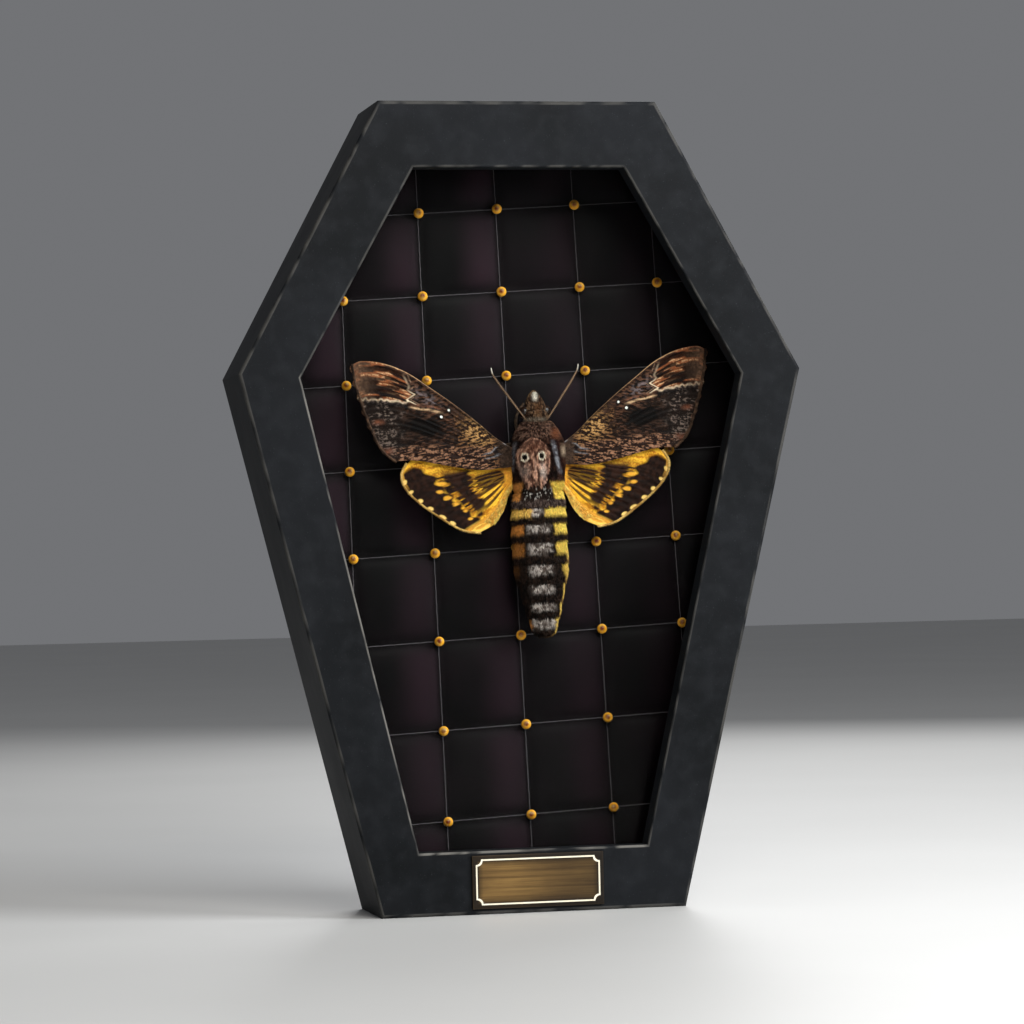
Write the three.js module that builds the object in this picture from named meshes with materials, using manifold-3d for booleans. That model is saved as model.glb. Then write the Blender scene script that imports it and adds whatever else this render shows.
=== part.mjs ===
// A deaths head hawkmoth, set with its wings spread, in a glazed coffin shaped display case.
// Millimetres. The case stands on its foot: +Z is up, its glass faces -Y and +X is the
// viewer's right. The origin is in the middle of the case's footprint.

import * as THREE from 'three';
import { mergeVertices } from 'three/addons/utils/BufferGeometryUtils.js';
import Module from 'manifold-3d';

const wasm = await Module();
wasm.setup();

const GAP = 0.3;

// The case, a six sided coffin, seen from the front
const CASE_HEIGHT = 240;
const SHOULDER_Z = 160;
const TOP_HALF = 42;
const SHOULDER_HALF = 85;
const FOOT_HALF = 46;
const FRONT_Y = -17;
const REAR_Y = 18;

// The opening that the front lip leaves
const OPENING_TOP_Z = 220.3;
const OPENING_SHOULDER_Z = 158.7;
const OPENING_FOOT_Z = 18.7;
const OPENING_TOP_HALF = 31.9;
const OPENING_SHOULDER_HALF = 66.7;
const OPENING_FOOT_HALF = 34.6;

// How far each inner face lies along the mitre, as a share of the rail's width
const WALL_SHARE = 0.58;
const GROOVE_SHARE = 0.42;
const SHARE_GAP = 0.02;

const LIP_BACK_Y = -10;
const GLASS_GROOVE_Y = -7.6;
const REBATE_Y = 14.8;
const EDGE_ROUND = 0.6;
const OUTER_ROUND_SHARE = 0.04;
const LIP_ROUND_SHARE = 0.03;

const GLASS_THICKNESS = 1.8;
const BACK_THICKNESS = 2.9;

// The quilted lining: a grid of stitched squares with a bead at each crossing
const QUILT_CENTRE_X = 1.6;
const QUILT_CENTRE_Z = 121.1;
const QUILT_PITCH_X = 24.9;
const QUILT_PITCH_Z = 26.2;
const QUILT_TURN = THREE.MathUtils.degToRad(2.06);
const QUILT_ROW_GROWTH = 0.0073;
const QUILT_FAN = 0.009;
const QUILT_ROW_SLANT = 0.38;
const PILLOW_Y = 9.1;
const GROOVE_DEPTH = 1.2;
const PAD_BACK_Y = REBATE_Y - GAP;
const QUILT_COLUMNS = [-4, 4];
const QUILT_ROWS = [-2, 10];
const QUILT_STEPS = [0, 0.16, 0.5, 0.84];
const BEAD_RADIUS = 1.5;

// Columns that carry a bead, for each row of crossings from the top
const BEAD_COLUMNS = [
  [-1, 0, 1],
  [-2, -1, 0, 1, 2],
  [-2, -1, 0, 1, 2],
  [-2, -1, 1, 2],
  [-2, -1, 0, 1, 2],
  [-1, 0, 1, 2],
  [-1, 0, 1],
  [-1, 0, 1],
];
const MIDDLE_ROW = 3.5;
const POST_ROW = 3;
const POST_RADIUS = 1.5;

// The plaque on the foot rail
const PLAQUE_CENTRE_X = 0.8;
const PLAQUE_CENTRE_Z = 9.6;
const PLAQUE_WIDTH = 39.8;
const PLAQUE_HEIGHT = 15.8;
const PLAQUE_THICKNESS = 0.7;
const PLAQUE_CHAMFER = 0.35;

// The moth's own frame: x to its side, z towards its head, -y out of its back
const MOTH_X = 6.6;
const MOTH_Z = 136;
const MOTH_TURN = THREE.MathUtils.degToRad(2);

// The body bends a little to its right, from the abdomen to the head
const BODY_BEND = 0.85;
const BEND_START_Z = -25;
const BEND_END_Z = 0;

// The abdomen: full from its front, then an even taper to a blunt end
const ABDOMEN_FRONT_Z = -11.9;
const SEGMENT_LENGTHS = [4.3, 4.6, 5.6, 6.6, 6, 5.6, 4.6, 6];
const ABDOMEN_LENGTH = SEGMENT_LENGTHS.reduce((sum, length) => sum + length, 0);
const ABDOMEN_HALF_WIDTH = 8.3;
const ABDOMEN_FRONT_WIDTH_SHARE = 0.92;
const ABDOMEN_FULL_SHARE = 0.2;
const ABDOMEN_TAPER_SHARE = 0.53;
const ABDOMEN_TAPER = 1.3;
const ABDOMEN_END_SHARE = 0.955;
const ABDOMEN_TIP_HALF_WIDTH = 0.7;
const ABDOMEN_DEPTH_SHARE = 0.74;
const ABDOMEN_Y = 0.2;

// Each segment swells by a step towards its rear, less at the last: [share of its length, step]
const SEGMENT_SWELL = [[0, 0], [0.55, 0.35], [0.93, 0.35]];
const LAST_SEGMENT_SWELL = [[0, 0], [0.5, 0.1], [0.78, 0], [0.93, 0]];

// The body's other sections from rear to front: [z, half width, half depth, middle y]
const THORAX_SECTIONS = [
  [-11.6, 7.3, 5.4, 0],
  [-10.2, 7.9, 5.8, -0.2],
  [-6.5, 8.1, 6.1, -0.4],
  [-2, 8.5, 6.3, -0.5],
  [2.5, 8.3, 6.2, -0.5],
  [5.5, 7.3, 5.7, -0.4],
  [7.8, 5.9, 4.8, -0.2],
  [9.2, 4.7, 4.1, 0],
];
const HEAD_SECTIONS = [
  [9.5, 3.9, 3.7, 0],
  [10.6, 4.1, 3.9, 0],
  [12.6, 3.9, 3.8, 0.1],
  [14.6, 3.2, 3.3, 0.3],
  [16.4, 2.3, 2.5, 0.6],
  [17.8, 1.3, 1.5, 0.8],
  [18.4, 0.6, 0.7, 0.9],
];
const EYE_RADIUS = 1.9;
const EYE_PLACE = new THREE.Vector3(3.1, 0.5, 12.6);

const ANTENNA_ROUTE = [
  [2.2, -1.6, 8.6],
  [4.3, -2.0, 11.5],
  [8.1, -2.4, 16.9],
  [11.8, -2.6, 22.3],
  [13.1, -2.6, 24.6],
  [13.4, -2.8, 26.2],
];
const ANTENNA_RADIUS = 0.46;
const ANTENNA_ROOT_RADIUS = 0.36;
const ANTENNA_TIP_RADIUS = 0.14;
const ANTENNA_WIDEST_SHARE = 0.8;

// Each leg is folded under the body: its route and its radius at hip and foot
const LEG_ROUTES = {
  leg_front: [[2.6, 2.5, 5], [4.6, 6.1, 7.5], [4.2, 6.9, 12], [1.9, 6.6, 15.5]],
  leg_middle: [[3.6, 3, 2.8], [7.6, 5.4, 3.4], [8.9, 6.4, -1], [8.2, 7, -7], [6.6, 7.7, -14]],
  leg_hind: [[2.2, 3, -5], [4.2, 7.2, -8], [3.6, 7.7, -16], [2.2, 7.9, -25]],
};
const LEG_HIP_RADIUS = 0.75;
const LEG_FOOT_RADIUS = 0.35;

// Facets of the round forms: [along, around] for the limbs and eyes
const THORAX_SIDES = 24;
const HEAD_SIDES = 16;
const ABDOMEN_SIDES = 20;
const ANTENNA_FACETS = [16, 7];
const LEG_FACETS = [9, 6];
const EYE_FACETS = [8, 12];
const POST_SIDES = 12;

// A wing is the sheet between its costa, outer margin and hind margin: [x, z] points
const FOREWING = {
  costa: [
    [6.5, 1.6], [12.3, 5.4], [18, 10.6], [24.7, 16.1], [31.6, 21.3],
    [38.2, 26], [45, 29], [51.5, 30], [54.8, 28.8],
  ],
  outer: [[54.8, 28.8], [54.1, 23.5], [52.2, 16], [50, 9.5], [47.2, 3.4], [43.2, -0.2]],
  hind: [[6.5, -3.4], [16.5, -4.2], [25, -2.9], [36.3, -0.4], [43.2, -0.2]],
  veins: [0.03, 0.17, 0.31, 0.45, 0.59, 0.73, 0.88],
  y: -1.3,
  steps: 12,
};
const HINDWING = {
  costa: [[6.5, -1.6], [16, 0.8], [27, 1.9], [35.5, 1.2], [39.6, -1.4]],
  outer: [
    [39.6, -1.4], [41.3, -4.6], [40.6, -8.2], [36.7, -12.8],
    [29.3, -18.4], [23.4, -21.8], [18.2, -22.7],
  ],
  hind: [[6.9, -8.6], [8.6, -11.6], [10.6, -16.4], [13.8, -20.5], [18.2, -22.7]],
  veins: [0.1, 0.28, 0.45, 0.62, 0.8],
  y: 0.3,
  steps: 10,
};
const WING_THICKNESS = 0.55;
const VEIN_RIDGE = 0.2;
const VEIN_HALF_WIDTH = 0.022;
const VEIN_TOOTH = 0.45;
const VEIN_RISE = 4;
const WING_ARCH = 1.1;
const WING_ROOT_X = 6.5;
const WING_TIP_X = 55;

const model = new THREE.Group();
const moth = new THREE.Group();
moth.position.set(MOTH_X, 0, MOTH_Z);
moth.rotation.y = -MOTH_TURN;
model.add(moth);

const materials = {
  wood: { color: 0x1b1e22, roughness: 0.55, metalness: 0 },
  glass: { color: 0xdfe6e8, roughness: 0.05, metalness: 0 },
  board: { color: 0x17110d, roughness: 0.8, metalness: 0 },
  lining: { color: 0x1d141a, roughness: 0.7, metalness: 0 },
  bead: { color: 0xd08a1c, roughness: 0.25, metalness: 0 },
  brass: { color: 0x6d5630, roughness: 0.4, metalness: 0.9 },
  fur: { color: 0x2b2019, roughness: 0.9, metalness: 0 },
  banded: { color: 0x9a6c1c, roughness: 0.9, metalness: 0 },
  forewing: { color: 0x3a2518, roughness: 0.85, metalness: 0 },
  hindwing: { color: 0xc08a1e, roughness: 0.85, metalness: 0 },
  eye: { color: 0x120c08, roughness: 0.3, metalness: 0 },
  feeler: { color: 0x6d5238, roughness: 0.7, metalness: 0 },
  leg: { color: 0x3a2a1c, roughness: 0.8, metalness: 0 },
  post: { color: 0x8a6a45, roughness: 0.8, metalness: 0 },
};

function addPart(group, name, geometry, material) {
  const mesh = new THREE.Mesh(geometry, new THREE.MeshStandardMaterial(materials[material]));
  mesh.name = name;
  group.add(mesh);
  return mesh;
}

// Turns a geometry into a bare closed mesh with merged corners and its faces pointing out
function closed(geometry) {
  const bare = geometry.clone();
  bare.deleteAttribute('normal');
  bare.deleteAttribute('uv');
  const merged = mergeVertices(bare, 1e-4);
  const position = merged.attributes.position;
  const index = merged.index.array;
  const [a, b, c] = [new THREE.Vector3(), new THREE.Vector3(), new THREE.Vector3()];
  let volume = 0;
  for (let i = 0; i < index.length; i += 3) {
    a.fromBufferAttribute(position, index[i]);
    b.fromBufferAttribute(position, index[i + 1]);
    c.fromBufferAttribute(position, index[i + 2]);
    volume += a.dot(b.cross(c)) / 6;
  }
  if (volume < 0) {
    for (let i = 0; i < index.length; i += 3) {
      [index[i + 1], index[i + 2]] = [index[i + 2], index[i + 1]];
    }
  }
  return merged;
}

function toSolid(geometry) {
  const bare = closed(geometry);
  return new wasm.Manifold(new wasm.Mesh({
    numProp: 3,
    vertProperties: new Float32Array(bare.attributes.position.array),
    triVerts: new Uint32Array(bare.index.array),
  }));
}

// The largest closed surface of a solid, as a geometry
function fromSolid(solid) {
  const pieces = solid.decompose();
  pieces.sort((first, second) => second.volume() - first.volume());
  const mesh = pieces[0].getMesh();
  const geometry = new THREE.BufferGeometry();
  geometry.setAttribute('position', new THREE.BufferAttribute(new Float32Array(mesh.vertProperties), 3));
  geometry.setIndex(new THREE.BufferAttribute(new Uint32Array(mesh.triVerts), 1));
  return geometry;
}

function fromTriangles(vertices, triangles) {
  const geometry = new THREE.BufferGeometry();
  geometry.setAttribute('position', new THREE.Float32BufferAttribute(vertices.flat(), 3));
  geometry.setIndex(triangles.flat());
  return closed(geometry);
}

// A skin through rings of like points, with both ends closed by the triangles in cap
function loft(rings, cap) {
  const count = rings[0].length;
  const vertices = rings.flat();
  const triangles = [];
  for (let r = 0; r + 1 < rings.length; r += 1) {
    for (let i = 0; i < count; i += 1) {
      const here = r * count + i;
      const next = r * count + ((i + 1) % count);
      triangles.push([here, next, next + count]);
      triangles.push([here, next + count, here + count]);
    }
  }
  const last = (rings.length - 1) * count;
  for (const [a, b, c] of cap) {
    triangles.push([a, c, b]);
    triangles.push([last + a, last + b, last + c]);
  }
  return fromTriangles(vertices, triangles);
}

function fanCap(count) {
  const cap = [];
  for (let i = 1; i + 1 < count; i += 1) cap.push([0, i, i + 1]);
  return cap;
}

// The case's outline, going round from the foot's left corner
const OUTER = [
  [-FOOT_HALF, 0],
  [FOOT_HALF, 0],
  [SHOULDER_HALF, SHOULDER_Z],
  [TOP_HALF, CASE_HEIGHT],
  [-TOP_HALF, CASE_HEIGHT],
  [-SHOULDER_HALF, SHOULDER_Z],
];
const OPENING = [
  [-OPENING_FOOT_HALF, OPENING_FOOT_Z],
  [OPENING_FOOT_HALF, OPENING_FOOT_Z],
  [OPENING_SHOULDER_HALF, OPENING_SHOULDER_Z],
  [OPENING_TOP_HALF, OPENING_TOP_Z],
  [-OPENING_TOP_HALF, OPENING_TOP_Z],
  [-OPENING_SHOULDER_HALF, OPENING_SHOULDER_Z],
];
const RAIL_NAMES = ['foot', 'right_lower', 'right_upper', 'top', 'left_upper', 'left_lower'];

// The outline moved inwards by a share of the rails' width
function outlineAt(share) {
  return OUTER.map(([x, z], i) => [
    THREE.MathUtils.lerp(x, OPENING[i][0], share),
    THREE.MathUtils.lerp(z, OPENING[i][1], share),
  ]);
}

// A flat slab of that outline from front to back
function slab(outline, front, back) {
  const shape = new THREE.Shape(outline.map(([x, z]) => new THREE.Vector2(x, z)));
  const geometry = new THREE.ExtrudeGeometry(shape, { depth: back - front, bevelEnabled: false });
  geometry.rotateX(Math.PI / 2);
  geometry.translate(0, back, 0);
  return closed(geometry);
}

// The rails' section: [share of the rail's width, y], lip, glass groove, wall and rear rebate
const RAIL_SECTION = [
  [OUTER_ROUND_SHARE, FRONT_Y],
  [1 - LIP_ROUND_SHARE, FRONT_Y],
  [1, FRONT_Y + EDGE_ROUND],
  [1, LIP_BACK_Y],
  [GROOVE_SHARE, LIP_BACK_Y],
  [GROOVE_SHARE, GLASS_GROOVE_Y],
  [WALL_SHARE, GLASS_GROOVE_Y],
  [WALL_SHARE, REBATE_Y],
  [GROOVE_SHARE, REBATE_Y],
  [GROOVE_SHARE, REAR_Y],
  [OUTER_ROUND_SHARE, REAR_Y],
  [0, REAR_Y - EDGE_ROUND],
  [0, FRONT_Y + EDGE_ROUND],
];

function sectionCap() {
  const contour = RAIL_SECTION.map(([share, y]) => new THREE.Vector2(share, y));
  return THREE.ShapeUtils.triangulateShape(contour, []);
}

// A rail between two mitred corners, each end drawn back by half the gap
function railGeometry(index) {
  const start = index;
  const end = (index + 1) % OUTER.length;
  const along = new THREE.Vector2(OUTER[end][0] - OUTER[start][0], OUTER[end][1] - OUTER[start][1]);
  along.normalize();
  const rings = [start, end].map((corner, side) => {
    const outer = new THREE.Vector2(...OUTER[corner]);
    const mitre = new THREE.Vector2(...OPENING[corner]).sub(outer);
    const slide = GAP / 2 / Math.abs(along.cross(mitre.clone().normalize()));
    const shift = along.clone().multiplyScalar(side === 0 ? slide : -slide);
    return RAIL_SECTION.map(([share, y]) => [
      outer.x + mitre.x * share + shift.x,
      y,
      outer.y + mitre.y * share + shift.y,
    ]);
  });
  return loft(rings, sectionCap());
}

// A place on the quilt from its column and row, where whole numbers are stitched lines
function quiltPlace(column, row) {
  const down = row - MIDDLE_ROW;
  const x = column * QUILT_PITCH_X * (1 + QUILT_FAN * down);
  const z = QUILT_ROW_SLANT * column - QUILT_PITCH_Z * (down + QUILT_ROW_GROWTH * down * down);
  return [
    QUILT_CENTRE_X + x * Math.cos(QUILT_TURN) - z * Math.sin(QUILT_TURN),
    QUILT_CENTRE_Z + x * Math.sin(QUILT_TURN) + z * Math.cos(QUILT_TURN),
  ];
}

// The lining swells between its seams
function quiltFront(column, row) {
  const swell = Math.sqrt(Math.abs(Math.sin(Math.PI * column) * Math.sin(Math.PI * row)));
  return PILLOW_Y + GROOVE_DEPTH * (1 - swell);
}

function liningGeometry() {
  const samples = ([first, last]) => {
    const places = [];
    for (let line = first; line < last; line += 1) {
      QUILT_STEPS.forEach((part) => places.push(line + part));
    }
    return places;
  };
  const columns = samples(QUILT_COLUMNS);
  const rows = samples(QUILT_ROWS);
  const front = rows.map((row) => columns.map((column) => {
    const [x, z] = quiltPlace(column, row);
    return [x, quiltFront(column, row), z];
  }));
  const wide = columns.length;
  const high = rows.length;
  const vertices = front.flat();
  const triangles = [];
  for (let r = 0; r + 1 < high; r += 1) {
    for (let c = 0; c + 1 < wide; c += 1) {
      const here = r * wide + c;
      triangles.push([here, here + 1, here + wide + 1]);
      triangles.push([here, here + wide + 1, here + wide]);
    }
  }
  // The sheet's rim, going round, is drawn back to a flat rear
  const rim = [];
  for (let c = 0; c + 1 < wide; c += 1) rim.push(c);
  for (let r = 0; r + 1 < high; r += 1) rim.push(r * wide + wide - 1);
  for (let c = wide - 1; c > 0; c -= 1) rim.push((high - 1) * wide + c);
  for (let r = high - 1; r > 0; r -= 1) rim.push(r * wide);
  const base = vertices.length;
  rim.forEach((corner) => vertices.push([vertices[corner][0], REAR_Y, vertices[corner][2]]));
  for (let i = 0; i < rim.length; i += 1) {
    const next = (i + 1) % rim.length;
    triangles.push([rim[i], base + next, rim[next]]);
    triangles.push([rim[i], base + i, base + next]);
  }
  const middle = vertices.length;
  vertices.push([QUILT_CENTRE_X, REAR_Y, QUILT_CENTRE_Z]);
  for (let i = 0; i < rim.length; i += 1) {
    triangles.push([middle, base + ((i + 1) % rim.length), base + i]);
  }
  const sheet = toSolid(fromTriangles(vertices, triangles));
  const block = toSolid(slab(outlineAt(WALL_SHARE + SHARE_GAP), PILLOW_Y - 1, PAD_BACK_Y));
  return fromSolid(sheet.intersect(block));
}

function beadGeometry(column, row) {
  const [x, z] = quiltPlace(column, row);
  const geometry = new THREE.IcosahedronGeometry(BEAD_RADIUS, 1);
  geometry.translate(x, quiltFront(column, row) - GAP - BEAD_RADIUS, z);
  return closed(geometry);
}

function plaqueGeometry() {
  const half = PLAQUE_WIDTH / 2;
  const tall = PLAQUE_HEIGHT / 2;
  const face = FRONT_Y - GAP - PLAQUE_THICKNESS;
  const ring = (inset, y) => [
    [PLAQUE_CENTRE_X - half + inset, y, PLAQUE_CENTRE_Z - tall + inset],
    [PLAQUE_CENTRE_X + half - inset, y, PLAQUE_CENTRE_Z - tall + inset],
    [PLAQUE_CENTRE_X + half - inset, y, PLAQUE_CENTRE_Z + tall - inset],
    [PLAQUE_CENTRE_X - half + inset, y, PLAQUE_CENTRE_Z + tall - inset],
  ];
  const rings = [ring(0, FRONT_Y - GAP), ring(0, face + PLAQUE_CHAMFER), ring(PLAQUE_CHAMFER, face)];
  return loft(rings, fanCap(4));
}

function buildCase() {
  RAIL_NAMES.forEach((name, i) => addPart(model, `rail_${name}`, railGeometry(i), 'wood'));
  const pane = outlineAt(GROOVE_SHARE + SHARE_GAP);
  const paneFront = LIP_BACK_Y + GAP;
  addPart(model, 'glass', slab(pane, paneFront, paneFront + GLASS_THICKNESS), 'glass');
  addPart(model, 'back_board', slab(pane, REAR_Y - BACK_THICKNESS, REAR_Y), 'board');
  addPart(model, 'lining', liningGeometry(), 'lining');
  addPart(model, 'plaque', plaqueGeometry(), 'brass');
  BEAD_COLUMNS.forEach((columns, row) => {
    columns.forEach((column, i) => {
      addPart(model, `bead_${row + 1}_${i + 1}`, beadGeometry(column, row), 'bead');
    });
  });
}

// How far the body's middle lies to its right at height z
function axisAt(z) {
  return BODY_BEND * THREE.MathUtils.smoothstep(z, BEND_START_Z, BEND_END_Z);
}

// An oval ring across the body
function bodyRing([z, halfWidth, halfDepth, y], count, grow) {
  const ring = [];
  for (let i = 0; i < count; i += 1) {
    const angle = (2 * Math.PI * (i + 0.5)) / count;
    ring.push([
      axisAt(z) + (halfWidth + grow) * Math.cos(angle),
      y + (halfDepth + grow) * Math.sin(angle),
      z,
    ]);
  }
  return ring;
}

function bodyGeometry(sections, count, grow = 0) {
  const last = sections.length - 1;
  const rings = sections.map((section, i) => {
    const [z, ...rest] = section;
    const reach = (i === last ? grow : 0) - (i === 0 ? grow : 0);
    return bodyRing([z + reach, ...rest], count, grow);
  });
  return loft(rings, fanCap(count));
}

// Half the abdomen's width at a share of its length, without the segments' steps
function abdomenHalfWidth(share) {
  const full = Math.min(share / ABDOMEN_FULL_SHARE, 1);
  const front = THREE.MathUtils.lerp(ABDOMEN_FRONT_WIDTH_SHARE, 1, Math.sin((full * Math.PI) / 2));
  const taper = 1 - ABDOMEN_TAPER * Math.max(share - ABDOMEN_TAPER_SHARE, 0);
  const beyond = Math.max(share - ABDOMEN_END_SHARE, 0) / (1 - ABDOMEN_END_SHARE);
  return ABDOMEN_HALF_WIDTH * front * taper * Math.sqrt(1 - beyond * beyond);
}

// The abdomen's rings, each segment a step wider at its rear than the next one's front
function abdomenSections() {
  const sections = [];
  let passed = 0;
  SEGMENT_LENGTHS.forEach((length, i) => {
    const swell = i + 1 < SEGMENT_LENGTHS.length ? SEGMENT_SWELL : LAST_SEGMENT_SWELL;
    for (const [within, step] of swell) {
      const along = passed + within * length;
      const halfWidth = abdomenHalfWidth(along / ABDOMEN_LENGTH) + step;
      sections.push([ABDOMEN_FRONT_Z - along, halfWidth, halfWidth * ABDOMEN_DEPTH_SHARE, ABDOMEN_Y]);
    }
    passed += length;
  });
  const tip = ABDOMEN_TIP_HALF_WIDTH;
  sections.push([ABDOMEN_FRONT_Z - passed, tip, tip * ABDOMEN_DEPTH_SHARE, ABDOMEN_Y]);
  return sections.reverse();
}

// A tapered round limb along a smooth route
function limbGeometry(route, radiusAt, [steps, sides]) {
  const curve = new THREE.CatmullRomCurve3(route.map((point) => new THREE.Vector3(...point)));
  const frames = curve.computeFrenetFrames(steps, false);
  const rings = [];
  for (let i = 0; i <= steps; i += 1) {
    const centre = curve.getPointAt(i / steps);
    const radius = radiusAt(i / steps);
    const ring = [];
    for (let k = 0; k < sides; k += 1) {
      const angle = (2 * Math.PI * k) / sides;
      const point = centre.clone();
      point.addScaledVector(frames.normals[i], radius * Math.cos(angle));
      point.addScaledVector(frames.binormals[i], radius * Math.sin(angle));
      ring.push(point.toArray());
    }
    rings.push(ring);
  }
  return loft(rings, fanCap(sides));
}

function antennaRadius(share) {
  if (share < ANTENNA_WIDEST_SHARE) {
    return THREE.MathUtils.lerp(ANTENNA_ROOT_RADIUS, ANTENNA_RADIUS, share / ANTENNA_WIDEST_SHARE);
  }
  const beyond = (share - ANTENNA_WIDEST_SHARE) / (1 - ANTENNA_WIDEST_SHARE);
  return THREE.MathUtils.lerp(ANTENNA_RADIUS, ANTENNA_TIP_RADIUS, beyond);
}

function legRadius(share) {
  return THREE.MathUtils.lerp(LEG_HIP_RADIUS, LEG_FOOT_RADIUS, Math.sqrt(share));
}

function edgeCurve(points) {
  return new THREE.SplineCurve(points.map(([x, z]) => new THREE.Vector2(x, z)));
}

// Samples across the wing: each vein has a foot, a crest and a foot, with one place between veins
function veinSamples(veins) {
  const samples = [{ v: 0, crest: 0 }];
  veins.forEach((vein, i) => {
    if (vein > VEIN_HALF_WIDTH * 2) samples.push({ v: vein - VEIN_HALF_WIDTH, crest: 0 });
    samples.push({ v: vein, crest: 1 });
    samples.push({ v: vein + VEIN_HALF_WIDTH, crest: 0 });
    const after = i + 1 < veins.length ? veins[i + 1] : 1;
    samples.push({ v: (vein + after) / 2, crest: 0 });
  });
  samples.push({ v: 1, crest: 0 });
  return samples;
}

// A wing's sheet: u runs from root to outer margin, v from costa to hind margin
function wingGeometry(wing, side) {
  const costa = edgeCurve(wing.costa);
  const outer = edgeCurve(wing.outer);
  const hind = edgeCurve(wing.hind);
  const rootFront = costa.getPoint(0);
  const rootRear = hind.getPoint(0);
  const apex = costa.getPoint(1);
  const corner = hind.getPoint(1);
  const place = (u, v) => {
    const across = new THREE.Vector2().lerpVectors(costa.getPointAt(u), hind.getPointAt(u), v);
    const rootAt = new THREE.Vector2().lerpVectors(rootFront, rootRear, v);
    const along = new THREE.Vector2().lerpVectors(rootAt, outer.getPointAt(v), u);
    const near = new THREE.Vector2().lerpVectors(rootFront, apex, u);
    const far = new THREE.Vector2().lerpVectors(rootRear, corner, u);
    return across.add(along).sub(near.lerp(far, v));
  };
  const samples = veinSamples(wing.veins);
  const front = [];
  const back = [];
  for (let i = 0; i <= wing.steps; i += 1) {
    const u = i / wing.steps;
    for (const { v, crest } of samples) {
      const point = place(u, v);
      if (i === wing.steps && crest === 1) {
        const inner = place(u - 1 / wing.steps, v);
        point.add(point.clone().sub(inner).normalize().multiplyScalar(VEIN_TOOTH));
      }
      const reach = THREE.MathUtils.clamp((point.x - WING_ROOT_X) / (WING_TIP_X - WING_ROOT_X), 0, 1);
      const lie = wing.y - WING_ARCH * Math.sin(Math.PI * reach);
      const half = WING_THICKNESS / 2 + VEIN_RIDGE * crest * Math.min(1, VEIN_RISE * u);
      front.push([side * point.x, lie - half, point.y]);
      back.push([side * point.x, lie + WING_THICKNESS / 2, point.y]);
    }
  }
  const wide = samples.length;
  const high = wing.steps + 1;
  const behind = front.length;
  const triangles = [];
  const quad = (a, b, c, d) => {
    triangles.push([a, b, c]);
    triangles.push([a, c, d]);
  };
  for (let r = 0; r + 1 < high; r += 1) {
    for (let c = 0; c + 1 < wide; c += 1) {
      const here = r * wide + c;
      quad(here, here + 1, here + wide + 1, here + wide);
      triangles.push([behind + here, behind + here + wide + 1, behind + here + 1]);
      triangles.push([behind + here, behind + here + wide, behind + here + wide + 1]);
    }
  }
  const wall = (a, b) => quad(a, behind + a, behind + b, b);
  for (let c = 0; c + 1 < wide; c += 1) {
    wall(c, c + 1);
    wall((high - 1) * wide + c + 1, (high - 1) * wide + c);
  }
  for (let r = 0; r + 1 < high; r += 1) {
    wall((r + 1) * wide, r * wide);
    wall(r * wide + wide - 1, (r + 1) * wide + wide - 1);
  }
  return fromTriangles(front.concat(back), triangles);
}

function eyeGeometry(side, grow = 0) {
  const [along, around] = EYE_FACETS;
  const geometry = new THREE.SphereGeometry(EYE_RADIUS + grow, around, along);
  geometry.translate(side * EYE_PLACE.x + axisAt(EYE_PLACE.z), EYE_PLACE.y, EYE_PLACE.z);
  return closed(geometry);
}

// A limb's route on one side of the body, which follows the body's bend
function routeOn(side, route) {
  return route.map(([x, y, z]) => [side * x + axisAt(z), y, z]);
}

// The post that the thorax is fixed on, standing on one of the quilt's crossings
function postGeometry(thoraxRoom) {
  const [x, z] = quiltPlace(0, POST_ROW);
  const rear = quiltFront(0, POST_ROW) - 2 * GAP;
  const geometry = new THREE.CylinderGeometry(POST_RADIUS, POST_RADIUS, rear, POST_SIDES);
  geometry.translate(0, rear / 2, 0);
  const local = new THREE.Vector3(x - MOTH_X, 0, z - MOTH_Z);
  local.applyAxisAngle(new THREE.Vector3(0, 1, 0), MOTH_TURN);
  geometry.translate(local.x, 0, local.z);
  return fromSolid(toSolid(geometry).subtract(thoraxRoom));
}

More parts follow.
